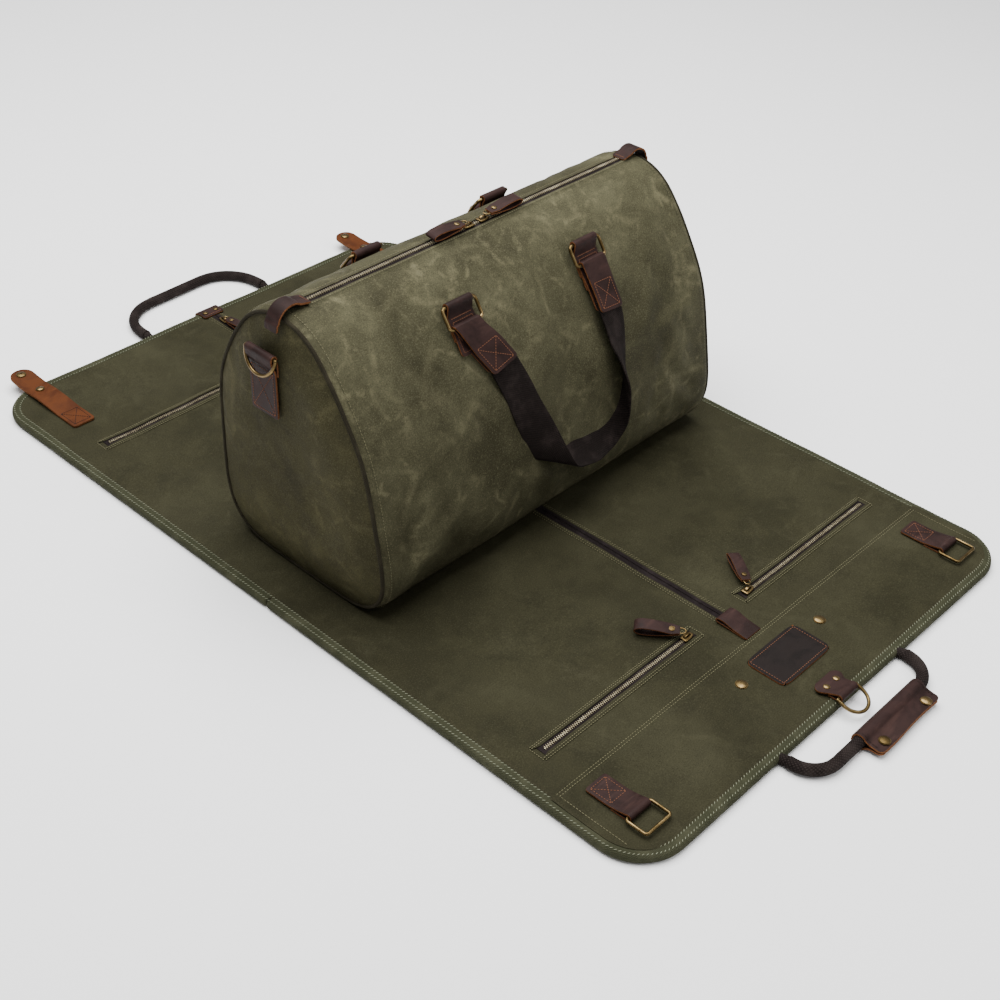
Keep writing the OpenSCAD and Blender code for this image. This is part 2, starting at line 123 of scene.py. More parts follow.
class Finish:
    """A material made of nodes, with short names for the patterns a finish needs."""

    def __init__(self, name):
        self.material = bpy.data.materials.new(name)
        self.material.use_nodes = True
        self.tree = self.material.node_tree
        self.shader = self.tree.nodes["Principled BSDF"]
        coords = self.tree.nodes.new("ShaderNodeTexCoord")
        self.space = coords.outputs["Object"]
        self.cloth = coords.outputs["UV"]

    def node(self, kind, sockets, result=0, **settings):
        made = self.tree.nodes.new("ShaderNode" + kind)
        for key, value in settings.items():
            setattr(made, key, value)
        for key, value in sockets.items():
            self.join(value, made.inputs[key])
        return made.outputs[result]

    def join(self, value, socket):
        if isinstance(value, bpy.types.NodeSocket):
            self.tree.links.new(value, socket)
        else:
            socket.default_value = value

    def cloud(self, scale, detail=3, rough=0.5, wander=0, at=None):
        how = {"Scale": scale, "Detail": detail, "Roughness": rough, "Distortion": wander}
        return self.node("TexNoise", {"Vector": at or self.space, **how})

    def ribs(self, pitch, way="X", wander=0, at=None):
        """Even ribs, one to each pitch in millimetres."""
        scale = math.pi / 10 / (pitch * MM)
        how = {"Scale": scale, "Distortion": wander, "Detail": 1, "Detail Scale": 2}
        return self.node("TexWave", {"Vector": at or self.cloth, **how}, 1, bands_direction=way)

    def sum(self, kind, a, b):
        return self.node("Math", {0: a, 1: b}, operation=kind)

    def span(self, value, low, high, new_low=0.0, new_high=1.0):
        how = {"From Min": low, "From Max": high, "To Min": new_low, "To Max": new_high}
        return self.node("MapRange", {"Value": value, **how}, interpolation_type="SMOOTHSTEP")

    def blend(self, share, a, b):
        return self.node("Mix", {0: share, 6: colour(a), 7: colour(b)}, 2, data_type="RGBA")

    def shade(self, value, share):
        return tuple(part * share for part in value)

    def drift(self, scale, reach):
        """A vector that wanders by up to the reach, in metres, to bend a pattern."""
        noise_colour = self.node("TexNoise", {"Vector": self.space, "Scale": scale, "Detail": 2}, 1)
        middle = self.node("VectorMath", {0: noise_colour, 1: (0.5, 0.5, 0.5)}, operation="SUBTRACT")
        return self.node("VectorMath", {0: middle, "Scale": reach}, operation="SCALE")

    def crease(self, scale, bend, wide, low, high):
        """A broken net of rubbed lines, as a share from none to full."""
        at = self.node("VectorMath", {0: self.space, 1: self.drift(scale * 0.9, bend)}, operation="ADD")
        edges = self.node("TexVoronoi", {"Vector": at, "Scale": scale}, feature="DISTANCE_TO_EDGE")
        line = self.span(edges, 0.0, wide, 1.0, 0.0)
        return self.sum("MULTIPLY", line, self.span(self.cloud(scale * 3, 5, 0.75), low, high))

    def stretched(self, x, y, z, at=None, turn=0.0):
        how = {"Scale": (x, y, z), "Rotation": (0, 0, math.radians(turn))}
        return self.node("Mapping", {"Vector": at or self.space, **how})

    def surface(self, tone, rough, height, depth_mm, strength=1.0, **even):
        self.join(tone, self.shader.inputs["Base Color"])
        self.join(rough, self.shader.inputs["Roughness"])
        bump = self.node("Bump", {"Strength": strength, "Distance": depth_mm * MM, "Height": height})
        self.join(bump, self.shader.inputs["Normal"])
        for key, value in even.items():
            self.shader.inputs[key.replace("_", " ")].default_value = value
        return self.material


def colour(value):
    return (*value, 1.0) if isinstance(value, tuple) and len(value) == 3 else value


YARN = 1.0  # the canvas's own weave, in millimetres


def waxed_canvas(name, deep, plain, pale, wax, veins, patch_scale):
    """Waxed cotton: plain weave, cloudy tone and pale rubbed creases where the wax cracked."""
    f = Finish(name)
    broad = f.cloud(patch_scale, 2, 0.5, 0.7)
    patchy = f.cloud(patch_scale * 4, 6, 0.7, 0.3)
    cloudy = f.sum("ADD", f.sum("MULTIPLY", broad, 0.55), f.sum("MULTIPLY", patchy, 0.45))
    tone = f.blend(f.span(cloudy, 0.38, 0.52), deep, plain)
    tone = f.blend(f.span(cloudy, 0.50, 0.66), tone, pale)
    rubbed = f.sum(
        "MAXIMUM",
        f.crease(13.0, 0.055, 0.085, 0.40, 0.64),
        f.sum("MULTIPLY", f.crease(27.0, 0.03, 0.10, 0.42, 0.66), 0.8),
    )
    where = f.span(f.cloud(8, 3, 0.6, 0.4), 0.40, 0.62)
    tone = f.blend(f.sum("MULTIPLY", rubbed, f.sum("MULTIPLY", where, veins)), tone, wax)
    warp, weft = f.ribs(YARN, "X", 0.15), f.ribs(YARN, "Y", 0.15)
    yarns = f.sum("MULTIPLY", warp, weft)
    slub = f.cloud(760, 3, 0.75)
    tone = f.blend(f.span(yarns, 0.0, 0.6, 0.30, 0.0), tone, deep)
    tone = f.blend(f.span(slub, 0.28, 0.50, 0.55, 0.0), tone, f.shade(deep, 0.5))
    tone = f.blend(f.span(slub, 0.50, 0.78, 0.0, 0.55), tone, wax)
    height = f.sum("ADD", f.sum("MULTIPLY", yarns, 0.6), f.sum("MULTIPLY", patchy, 0.9))
    rough = f.span(patchy, 0.3, 0.7, 0.66, 0.84)
    return f.surface(tone, rough, height, 0.35, 0.75, Specular_IOR_Level=SHEEN)


def oiled_leather(name, deep, plain, worn, gloss=0.0):
    """Pull-up leather: fine pores, drawn streaks and paler worn places."""
    f = Finish(name)
    cloudy = f.cloud(34, 5, 0.6, 0.6)
    drawn = f.cloud(60, 3, 0.6, 0.2, f.stretched(0.35, 1.6, 1.0))
    pores = f.node("TexVoronoi", {"Vector": f.space, "Scale": 1250.0}, feature="F1")
    tone = f.blend(f.span(cloudy, 0.35, 0.6), deep, plain)
    tone = f.blend(f.span(drawn, 0.55, 0.75, 0.0, 0.6), tone, worn)
    tone = f.blend(f.span(pores, 0.0, 0.35, 0.35, 0.0), tone, deep)
    height = f.sum("ADD", pores, f.sum("MULTIPLY", cloudy, 2.0))
    rough = f.span(cloudy, 0.3, 0.7, 0.5 - gloss, 0.68 - gloss)
    return f.surface(tone, rough, height, 0.22, 0.6, Specular_IOR_Level=LEATHER_SHEEN)


def raw_edge(name, deep, plain):
    """The cut edge of leather, with its fibres showing."""
    f = Finish(name)
    fibres = f.cloud(700, 4, 0.7)
    cloudy = f.cloud(90, 3, 0.5)
    tone = f.blend(f.span(fibres, 0.35, 0.65), deep, plain)
    tone = f.blend(f.span(cloudy, 0.55, 0.75, 0.0, 0.5), tone, deep)
    return f.surface(tone, 0.82, fibres, 0.3, 0.8, Specular_IOR_Level=SHEEN)


def woven_band(name, deep, plain, pale, pitch, slope=45.0):
    """Woven tape or webbing, with twill lines across its own length."""
    f = Finish(name)
    twill = f.ribs(pitch, "X", 0.3, f.stretched(1, 1, 1, f.cloth, slope))
    cross = f.ribs(pitch * 0.8, "X", 0.3, f.stretched(1, 1, 1, f.cloth, -slope))
    yarns = f.sum("MULTIPLY", twill, cross)
    worn = f.cloud(45, 4, 0.6)
    specks = f.cloud(1300, 2, 0.6)
    tone = f.blend(f.span(yarns, 0.05, 0.6), deep, plain)
    tone = f.blend(f.span(worn, 0.45, 0.7, 0.0, 0.35), tone, pale)
    tone = f.blend(f.span(specks, 0.58, 0.75, 0.0, 0.5), tone, pale)
    height = f.sum("ADD", yarns, f.sum("MULTIPLY", specks, 0.4))
    return f.surface(tone, 0.85, height, 0.5, 0.9, Specular_IOR_Level=SHEEN)


def old_brass(name, dark, metal, rough=0.27):
    """Brass with dark lacquer left in patches."""
    f = Finish(name)
    stain = f.cloud(70, 3, 0.5, 0.2)
    rubbed = f.cloud(900, 3, 0.6)
    tone = f.blend(f.span(stain, 0.30, 0.70), dark, metal)
    tone = f.blend(f.span(rubbed, 0.5, 0.8, 0.0, 0.25), tone, dark)
    shine = f.span(stain, 0.3, 0.7, rough + 0.16, rough)
    return f.surface(tone, shine, rubbed, 0.08, 0.5, Metallic=1.0)


def spun_thread(name, deep, plain):
    f = Finish(name)
    twist = f.cloud(2200, 2, 0.5)
    tone = f.blend(f.span(twist, 0.35, 0.65), deep, plain)
    return f.surface(tone, 0.75, twist, 0.1, 0.6, Specular_IOR_Level=SHEEN)


def plain_weave(name, deep, plain, pitch):
    f = Finish(name)
    yarns = f.sum("MULTIPLY", f.ribs(pitch, "X", 0.2), f.ribs(pitch, "Y", 0.2))
    cloudy = f.cloud(20, 4, 0.6)
    tone = f.blend(f.span(yarns, 0.0, 0.7), deep, plain)
    tone = f.blend(f.span(cloudy, 0.5, 0.75, 0.0, 0.3), tone, deep)
    return f.surface(tone, 0.85, yarns, 0.3, 0.7)


def felted(name, deep, plain):
    f = Finish(name)
    fibres = f.cloud(500, 5, 0.7)
    tone = f.blend(f.span(fibres, 0.3, 0.7), deep, plain)
    return f.surface(tone, 0.95, fibres, 0.6, 0.8)


def grained_board(name, deep, plain):
    f = Finish(name)
    grain = f.cloud(800, 3, 0.6)
    tone = f.blend(f.span(grain, 0.3, 0.7), deep, plain)
    return f.surface(tone, 0.6, grain, 0.15, 0.7)


PANEL_CANVAS = waxed_canvas(
    "panel_waxed_canvas",
    (0.0189, 0.0176, 0.0088),
    (0.0284, 0.0266, 0.0140),
    (0.0388, 0.0368, 0.0203),
    (0.0624, 0.0593, 0.0337),
    veins=0.3,
    patch_scale=6.5,
)
DUFFEL_CANVAS = waxed_canvas(
    "duffel_waxed_canvas",
    (0.0303, 0.0280, 0.0149),
    (0.0532, 0.0502, 0.0279),
    (0.0847, 0.0805, 0.0463),
    (0.1549, 0.1426, 0.0820),
    veins=0.85,
    patch_scale=8.5,
)
# the end panels' canvas: the body's canvas darkened, painted shade for the ends, which turn away from the
# light
SHADED_END_CANVAS = waxed_canvas(
    "duffel_end_canvas",
    (0.0223, 0.0198, 0.0094),
    (0.0374, 0.0341, 0.0168),
    (0.0567, 0.0517, 0.0259),
    (0.1012, 0.0906, 0.0456),
    veins=0.5,
    patch_scale=8.0,
)
DARK_LEATHER = oiled_leather(
    "dark_oiled_leather", (0.0144, 0.0072, 0.0062), (0.0265, 0.0134, 0.0117), (0.0459, 0.0234, 0.0193)
)
PATCH_LEATHER = oiled_leather(
    "patch_leather", (0.0068, 0.0048, 0.0042), (0.0114, 0.0080, 0.0072), (0.0188, 0.0128, 0.0107)
)
TAN_LEATHER = oiled_leather(
    "tan_oiled_leather", (0.0498, 0.0137, 0.0036), (0.0769, 0.0228, 0.0062), (0.1121, 0.0357, 0.0105)
)
RAW_EDGE = raw_edge("raw_leather_edge", (0.0884, 0.0326, 0.0122), (0.1768, 0.0714, 0.0286))
WEBBING = woven_band(
    "brown_webbing", (0.0070, 0.0053, 0.0047), (0.0168, 0.0120, 0.0108), (0.0421, 0.0316, 0.0289), 1.9
)
CORD_BRAID = woven_band(
    "braided_cord", (0.0085, 0.0061, 0.0056), (0.0224, 0.0168, 0.0151), (0.0449, 0.0348, 0.0314), 2.6
)
ZIP_TAPE = woven_band(
    "zip_tape", (0.0078, 0.0056, 0.0056), (0.0190, 0.0141, 0.0141), (0.0422, 0.0325, 0.0325), 1.2, 8.0
)
BINDING = woven_band(
    "binding_tape", (0.0277, 0.0292, 0.0161), (0.0480, 0.0490, 0.0276), (0.0800, 0.0793, 0.0477), 1.5, 60.0
)
# the piping is covered in the body's canvas; its darker colour is painted shade along the end seams
SHADED_PIPING = woven_band(
    "seam_piping", (0.0156, 0.0133, 0.0086), (0.0297, 0.0258, 0.0156), (0.0469, 0.0407, 0.0251), 1.4, 45.0
)
BRASS = old_brass("antique_brass", (0.0704, 0.0468, 0.0174), (0.2112, 0.1471, 0.0639))
TEETH_BRASS = old_brass("zip_teeth_brass", (0.1980, 0.1672, 0.1100), (0.4400, 0.3850, 0.2640), 0.3)
PALE_THREAD = spun_thread("olive_thread", (0.0918, 0.0857, 0.0474), (0.1530, 0.1423, 0.0826))
EDGE_THREAD = spun_thread("binding_thread", (0.1292, 0.1360, 0.0918), (0.2244, 0.2346, 0.1666))
RUST_THREAD = spun_thread("rust_thread", (0.1020, 0.0422, 0.0231), (0.1972, 0.0850, 0.0476))
DARK_THREAD = spun_thread("dark_thread", (0.0131, 0.0088, 0.0076), (0.0269, 0.0184, 0.0161))
LINING = plain_weave("cotton_lining", (0.0357, 0.0286, 0.0214), (0.0654, 0.0524, 0.0393), 0.9)
FELT = felted("needled_felt", (0.2499, 0.2321, 0.1963), (0.3570, 0.3392, 0.2975))
BOARD = grained_board("base_board", (0.0107, 0.0107, 0.0107), (0.0209, 0.0209, 0.0209))

# ---- making and finishing pieces ----


def only(obj):
    bpy.ops.object.select_all(action="DESELECT")
    obj.select_set(True)
    bpy.context.view_layer.objects.active = obj


def modify(obj, kind, **settings):
    only(obj)
    made = obj.modifiers.new(kind.lower(), kind)
    for key, value in settings.items():
        setattr(made, key, value)
    bpy.ops.object.modifier_apply(modifier=made.name)


def points_of(obj):
    co = np.empty(len(obj.data.vertices) * 3)
    obj.data.vertices.foreach_get("co", co)
    return co.reshape(-1, 3)


def thicken(obj, thick, offset=-1, rim=0):
    modify(
        obj, "SOLIDIFY", thickness=thick * MM, offset=offset, use_even_offset=False, material_offset_rim=rim
    )


def place_points(obj, co):
    obj.data.vertices.foreach_set("co", np.ascontiguousarray(co, float).ravel())
    obj.data.update()


def lay_cloth(obj, along, across):
    """Gives each vertex its place on the cloth, in metres, as the piece's own map."""
    layer = obj.data.uv_layers.active or obj.data.uv_layers.new(name="cloth")
    index = np.empty(len(obj.data.loops), int)
    obj.data.loops.foreach_get("vertex_index", index)
    flat = np.stack([along[index], across[index]], 1) * MM
    layer.uv.foreach_set("vector", flat.ravel())


def finish(obj, name, finishes=(), body=None, angle=38, stands_for=()):
    """Names a piece, puts its place in its mesh, gives it its finishes, hangs it on the body it rides on and
    hides the imported parts it stands for.
    """
    only(obj)
    bpy.ops.object.transform_apply(location=True, rotation=True, scale=True)
    obj.name = obj.data.name = name
    if finishes:
        obj.data.materials.clear()
        for material in finishes:
            obj.data.materials.append(material)
    bpy.ops.object.shade_smooth_by_angle(angle=math.radians(angle))
    if body:
        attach(obj, body)
    if stands_for:
        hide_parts(*stands_for)
    return obj


def join(objects):
    bpy.ops.object.select_all(action="DESELECT")
    for obj in objects:
        obj.select_set(True)
    bpy.context.view_layer.objects.active = objects[0]
    bpy.ops.object.join()
    return objects[0]


def grid(along, across):
    """A grid primitive, and each vertex's step along and across it."""
    bpy.ops.mesh.primitive_grid_add(
        x_subdivisions=along, y_subdivisions=across, size=2, calc_uvs=True
    )
    obj = bpy.context.object
    co = points_of(obj)
    i = np.rint((co[:, 0] + 1) / 2 * along).astype(int)
    j = np.rint((co[:, 1] + 1) / 2 * across).astype(int)
    return obj, i, j


WELD = ("remove_doubles", {"threshold": 1e-6})
OUTWARD = ("normals_make_consistent", {"inside": False})
WHOLE = ("select_all", {"action": "SELECT"})


def edit(obj, *steps):
    """Runs mesh operators, or a rise of what is chosen, each with its settings, on a piece's mesh."""
    only(obj)
    bpy.ops.object.mode_set(mode="EDIT")
    for name, settings in steps:
        if name == "raise":
            bpy.ops.transform.translate(**settings)
        else:
            getattr(bpy.ops.mesh, name)(**settings)
    bpy.ops.object.mode_set(mode="OBJECT")


def close_seam(obj):
    """Merges the edges that meet where a grid was rolled up, and fills its open ends."""
    edit(obj, WHOLE, WELD, ("fill_holes", {"sides": 0}), WHOLE, OUTWARD)


def clear_choice(obj):
    for parts in (obj.data.vertices, obj.data.edges, obj.data.polygons):
        parts.foreach_set("select", [False] * len(parts))


def smooth_line(points, per=10):
    """Points on the smooth curve that passes through the given ones."""
    p = np.array(points, float)
    p = np.vstack([2 * p[0] - p[1], p, 2 * p[-1] - p[-2]])
    out = []
    for i in range(1, len(p) - 2):
        for t in np.linspace(0, 1, per, endpoint=False):
            a, b, c, d = p[i - 1 : i + 3]
            bend = (2 * a - 5 * b + 4 * c - d) * t * t + (3 * b - a - 3 * c + d) * t**3
            out.append(0.5 * (2 * b + (c - a) * t + bend))
    out.append(p[-2])
    return np.array(out)


def unit(v):
    return v / np.maximum(np.linalg.norm(v, axis=-1, keepdims=True), 1e-9)


def lengths(line):
    return np.concatenate([[0], np.cumsum(np.linalg.norm(np.diff(line, axis=0), axis=1))])


def pick(line, at, marks):
    """The rows of line at the given places, where marks are its own places."""
    return np.stack([np.interp(at, marks, line[:, k]) for k in range(line.shape[1])], 1)


class Ribbon:
    """A flat strip given by its two edges. Its face looks along length cross width."""

    def __init__(self, left, right, smooth=True, per=10):
        both = np.hstack([np.array(left, float), np.array(right, float)])
        if smooth:
            both = smooth_line(both, per)
        else:
            marks = lengths((both[:, :3] + both[:, 3:]) / 2)
            both = pick(both, np.linspace(0, marks[-1], 12 * len(both)), marks)
        self.marks = lengths((both[:, :3] + both[:, 3:]) / 2)
        self.edges = both
        self.long = self.marks[-1]

    def frame_at(self, a):
        edges = pick(self.edges, a, self.marks)
        centre = (edges[:, :3] + edges[:, 3:]) / 2
        ahead = pick(self.edges, np.minimum(a + 0.5, self.long), self.marks)
        behind = pick(self.edges, np.maximum(a - 0.5, 0), self.marks)
        run = unit((ahead - behind)[:, :3] + (ahead - behind)[:, 3:])
        width = edges[:, 3:] - edges[:, :3]
        return centre, run, width

    def spot(self, a, b, lift=0.0):
        """Points b across from the middle line at a along it, lifted off the face."""
        a, b = np.broadcast_arrays(np.asarray(a, float), np.asarray(b, float))
        centre, run, width = self.frame_at(a.ravel())
        across = unit(width)
        face = unit(np.cross(run, across))
        return centre + across * b.reshape(-1, 1) + face * lift, face, run

    def half(self, a):
        return np.linalg.norm(self.frame_at(a)[2], axis=1) / 2


def straight_ribbon(line, across, width):
    """A ribbon whose width points one way all along."""
    line, side = np.array(line, float), unit(np.array(across, float)) * width / 2
    return Ribbon(line - side, line + side)


def between(inner, outer, sign):
    """A ribbon between two close rows of points, whose face looks up on either side of the middle."""
    return Ribbon(inner, outer, smooth=False) if sign > 0 else Ribbon(outer, inner, smooth=False)


def strip(ribbon, thick, finishes, corners=(0, 0), step=3.0, across=6, offset=-1, soft=0.35, puff=0.0):
    """A strip of leather, webbing or tape: laid along its ribbon, then given thickness."""
    count = max(4, int(ribbon.long / step))
    at = np.linspace(0, ribbon.long, count + 1)
    for end, radius in enumerate(corners):
        if radius:
            near = radius * (1 - np.cos(np.linspace(0, math.pi / 2, 6)))[:-1]
            at = np.concatenate([at, near if end == 0 else ribbon.long - near])
    at = np.unique(np.round(at, 3))
    obj, i, j = grid(len(at) - 1, across)
    a = at[i]
    share = j / across * 2 - 1
    half = ribbon.half(at)
    for radius, gap in ((corners[0], at), (corners[1], ribbon.long - at)):
        if radius:
            inside = np.clip(radius - gap, 0, radius)
            half = half - radius + np.sqrt(radius**2 - inside**2)
    where, face, _ = ribbon.spot(a, share * half[i])
    where = where + face * (puff * (1 - share**2))[:, None]
    place_points(obj, where * MM)
    lay_cloth(obj, a, share * half[i])
    for material in finishes:
        obj.data.materials.append(material)
    thicken(obj, thick, offset, len(finishes) - 1)
    modify(obj, "BEVEL", width=soft * MM, segments=2, limit_method="ANGLE", angle_limit=math.radians(50))
    return obj


def leather(ribbon, thick, corners=(0, 0), step=1.5, across=6):
    """A strip of dark leather with its cut edge showing."""
    return strip(ribbon, thick, [DARK_LEATHER, RAW_EDGE], corners, step, across, offset=0)


def tube(line, radius, finishes, sides=20, step=3.0, smooth=True):
    """A round cord along a line, closed at both ends, with a map that follows it."""
    line = smooth_line(line) if smooth else np.array(line, float)
    marks = lengths(line)
    count = max(4, int(marks[-1] / step))
    at = np.linspace(0, marks[-1], count + 1)
    centre = pick(line, at, marks)
    run = unit(np.gradient(centre, axis=0))
    side = [unit(np.cross(run[0], UP if abs(run[0][2]) < 0.9 else np.array([1.0, 0, 0])))]
    for k in range(1, len(run)):
        side.append(unit(side[-1] - run[k] * np.dot(side[-1], run[k])))
    side = np.array(side)
    other = np.cross(run, side)
    obj, i, j = grid(count, sides)
    turn = 2 * math.pi * j / sides
    size = radius if np.isscalar(radius) else np.interp(at, np.linspace(0, marks[-1], len(radius)), radius)[i]
    ring = side[i] * np.cos(turn)[:, None] + other[i] * np.sin(turn)[:, None]
    place_points(obj, (centre[i] + ring * np.reshape(size, (-1, 1))) * MM)
    lay_cloth(obj, at[i], turn * np.max(radius))
    for material in finishes:
        obj.data.materials.append(material)
    close_seam(obj)
    return obj


def mesh_of(obj):
    """A small shape's points in millimetres and its faces; the object goes."""
    co = points_of(obj) / MM
    faces = [tuple(p.vertices) for p in obj.data.polygons]
    bpy.data.objects.remove(obj)
    return co, faces


def copies(name, shape, places, ahead, side, up):
    """One mesh that holds a copy of a small shape at every place."""
    co, faces = shape
    places = np.asarray(places, float)
    n = len(places)
    points = (
        places[:, None, :]
        + co[None, :, 0:1] * ahead[:, None, :]
        + co[None, :, 1:2] * side[:, None, :]
        + co[None, :, 2:3] * up[:, None, :]
    )
    every = [tuple(v + k * len(co) for v in face) for k in range(n) for face in faces]
    mesh = bpy.data.meshes.new(name)
    mesh.from_pydata((points.reshape(-1, 3) * MM).tolist(), [], every)
    mesh.update()
    obj = bpy.data.objects.new(name, mesh)
    bpy.context.scene.collection.objects.link(obj)
    return obj


def stitch_shape():
    """A stitch: a small bead, one millimetre each way, drawn out as it is laid."""
    bpy.ops.mesh.primitive_uv_sphere_add(segments=6, ring_count=4, radius=0.5 * MM)
    obj = bpy.context.object
    place_points(obj, points_of(obj)[:, [2, 0, 1]])
    edit(obj, WHOLE, OUTWARD)
    return mesh_of(obj)


def tooth_shape():
    """A zip tooth: a short bar, narrower on top, with its edges broken."""
    bpy.ops.mesh.primitive_cube_add(size=MM)
    obj = bpy.context.object
    co = points_of(obj)
    top = co[:, 2] > 0
    co[top, :2] *= 0.72
    place_points(obj, co * [3.4, 1.15, 1.3])
    modify(obj, "BEVEL", width=0.16 * MM, segments=1)
    return mesh_of(obj)


STITCH = stitch_shape()
TOOTH = tooth_shape()
seams = {}


def sew(group, thread, points, faces, pitch=3.6, length=2.7, width=0.75, lift=0.12, slant=0.0):
    """Lays stitches along a line; they become one piece for each group and thread."""
    points, faces = np.array(points, float), np.array(faces, float)
    marks = lengths(points)
    count = max(2, int(round(marks[-1] / pitch)))
    at = (np.arange(count) + 0.5) * marks[-1] / count
    centre, up = pick(points, at, marks), unit(pick(faces, at, marks))
    ahead, behind = np.minimum(at + 0.6, marks[-1]), np.maximum(at - 0.6, 0)
    run = unit(pick(points, ahead, marks) - pick(points, behind, marks))
    side = np.cross(up, run)
    lean = math.radians(slant)
    ahead = unit(run * math.cos(lean) + side * math.sin(lean))
    side = np.cross(up, ahead)
    rows = seams.setdefault((group, thread.name), [])
    rows.append((centre + up * lift, ahead * length, side * width, up * width * 0.7))


def sew_up(group, thread, row, **how):
    """Stitches on a row of points whose face looks up."""
    sew(group, thread, row, np.tile(UP, (len(row), 1)), **how)


def sew_on(ribbon, group, thread, corners, **how):
    """Stitches on a ribbon's face, along the line through (along, across) corners."""
    line = np.array(corners, float)
    marks = lengths(line)
    at = np.linspace(0, marks[-1], max(8, int(marks[-1] / 1.2)))
    path = pick(line, at, marks)
    where, face, _ = ribbon.spot(path[:, 0], path[:, 1], how.pop("above", 0.0))
    sew(group, thread, where, face, **how)


def sew_box(ribbon, group, thread, a0, a1, half, cross=True, **how):
    """A stitched box with its two diagonals."""
    box = [(a0, -half), (a1, -half), (a1, half), (a0, half), (a0, -half)]
    for k in range(4):
        sew_on(ribbon, group, thread, box[k : k + 2], **how)
    for rise in (half, -half) if cross else ():
        sew_on(ribbon, group, thread, [(a0, -rise), (a1, rise)], **how)


# how a stud's disc is drawn up: each ring's inset and rise, as shares of its radius and height
DOME = ((0.10, 0.0), (0.02, 0.45), (0.22, 0.30), (0.26, 0.17), (0.24, 0.07))
DISC = 0.5


def stud(place, up, radius, height, hole=0.0):
    """A domed snap cap or rivet, made from a disc drawn up in rings."""
    bpy.ops.mesh.primitive_cylinder_add(
        vertices=32, radius=radius * MM, depth=DISC * MM, location=(0, 0, DISC / 2 * MM)
    )
    obj = bpy.context.object
    bpy.ops.object.transform_apply(location=True)
    clear_choice(obj)
    for face in obj.data.polygons:
        if face.normal.z > 0.9:
            face.select = True
            for v in face.vertices:
                obj.data.vertices[v].select = True
    steps = [("select_mode", {"type": "FACE"})]
    rings = [(inset, rise * (height - DISC)) for inset, rise in DOME]
    for inset, rise in rings + [(0.02, -hole)] * bool(hole):
        steps.append(("inset", {"thickness": inset * radius * MM, "depth": 0}))
        steps.append(("raise", {"value": (0, 0, rise * MM)}))
    edit(obj, *steps)
    up = unit(np.array(up, float))
    first = unit(np.cross(up, [0.3, 1.0, 0.2]))
    turn = np.stack([first, np.cross(up, first), up], 1)
    place_points(obj, points_of(obj) @ turn.T + np.array(place, float) * MM)
    return obj


# ---- garment panel ----

# half the opened panel's width and length, its corner's radius, and its face's height
HALF_W, HALF_LEN, CORNER = 305.0, 480.0, 52.0
PANEL_TOP = 9.0
BIND_W = 12.0
BAND_Y, BAND_RISE = -367.0, 1.5  # the near band's seam, and its own thickness
# a pocket zip's place along the panel, and its ends' places across it
ZIP_Y, ZIP_IN, ZIP_OUT = 325.0, 40.0, 261.0


def calm(x, y):
    """How free the panel is to ripple: not under the duffel or over a fold."""
    under = np.clip((np.abs(y - 6) - 135) / 45, 0, 1)
    beside = np.clip((np.abs(x) - 272) / 20, 0, 1)
    return np.maximum(under, beside * 0.6) ** 1.5


def lift(x, y):
    """How much the panel's face ripples, in millimetres."""
    x, y = np.asarray(x, float), np.asarray(y, float)
    broad = 0.55 * np.sin(x / 61 + y / 97) * np.sin(y / 53 - x / 140 + 1.3)
    small = 0.22 * np.sin(x / 19 - y / 31 + 0.6) * np.sin(y / 17 + x / 47)
    far_zip = np.exp(-(((y - ZIP_Y) / 14) ** 2)) * 0.5 * np.sin(x / 11)
    edge = np.exp(-(((y - BAND_Y - 4) / 5) ** 2)) * 0.25 * np.sin(x / 5.5)
    return (0.15 + broad + small + np.where(y > 0, far_zip, 0) + edge) * calm(x, y)


def rim_inset(y, inset):
    """Half the panel's width at y, this far in from its edge."""
    r, w, end = CORNER - inset, HALF_W - inset, HALF_LEN - inset
    past = np.clip(np.abs(y) - (end - r), 0, r)
    return w - r + np.sqrt(np.maximum(r**2 - past**2, 0))


def panel_layer(name, y0, y1, low, high, slot, material, nodes):
    """One layer of the panel: a sheet of cloth from y0 to y1, rippled with the rest."""
    inset = BIND_W - 5  # how far the binding covers it
    y_end = HALF_LEN - inset
    y0, y1 = max(y0, -y_end), min(y1, y_end)
    rows = np.linspace(y0, y1, int((y1 - y0) / 6) + 1)
    bend = y_end - (CORNER - inset) * (1 - np.sin(np.linspace(0, math.pi / 2, 10)))
    both = np.concatenate([bend, -bend])
    rows = np.unique(np.round(np.concatenate([rows, both[(both > y0) & (both < y1)]]), 2))
    across = 104
    obj, i, j = grid(len(rows) - 1, across)
    y = rows[i]
    half = rim_inset(rows, inset)[i]
    x = (j / across * 2 - 1) * -half
    share = high / PANEL_TOP
    z = high + lift(x, y) * share
    place_points(obj, np.stack([x, y, z], 1) * MM)
    lay_cloth(obj, x, y)
    obj.data.materials.append(material)
    thicken(obj, high - low)
    return finish(obj, name, angle=50, stands_for=nodes)


def over_fold(obj, y_side):
    """Puts a piece of the panel's place into its mesh, alike on the near side and the far one."""
    if y_side < 0:
        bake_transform(obj)
    else:
        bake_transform(obj)


def rim_line(side, inset):
    """Points round one half of the panel's edge, inset from it, and the way out at each."""
    r = CORNER
    turn = np.linspace(0, math.pi / 2, 16)
    nx, ny = np.cos(turn), np.sin(turn)
    corner = np.column_stack([HALF_W - r + r * nx, HALF_LEN - r + r * ny, nx, ny])
    left = corner[::-1] * [-1, 1, -1, 1]
    p = np.vstack([(HALF_W, 0.0, 1.0, 0.0), corner, left, (-HALF_W, 0.0, -1.0, 0.0)])
    marks = lengths(p[:, :2])
    at = np.unique(np.concatenate([marks, np.linspace(0, marks[-1], int(marks[-1] / 5))]))
    p = pick(p, at, marks)
    p[:, 2:] = unit(p[:, 2:])
    p[:, [1, 3]] *= side
    return p[:, :2] - p[:, 2:] * inset, p[:, 2:], at


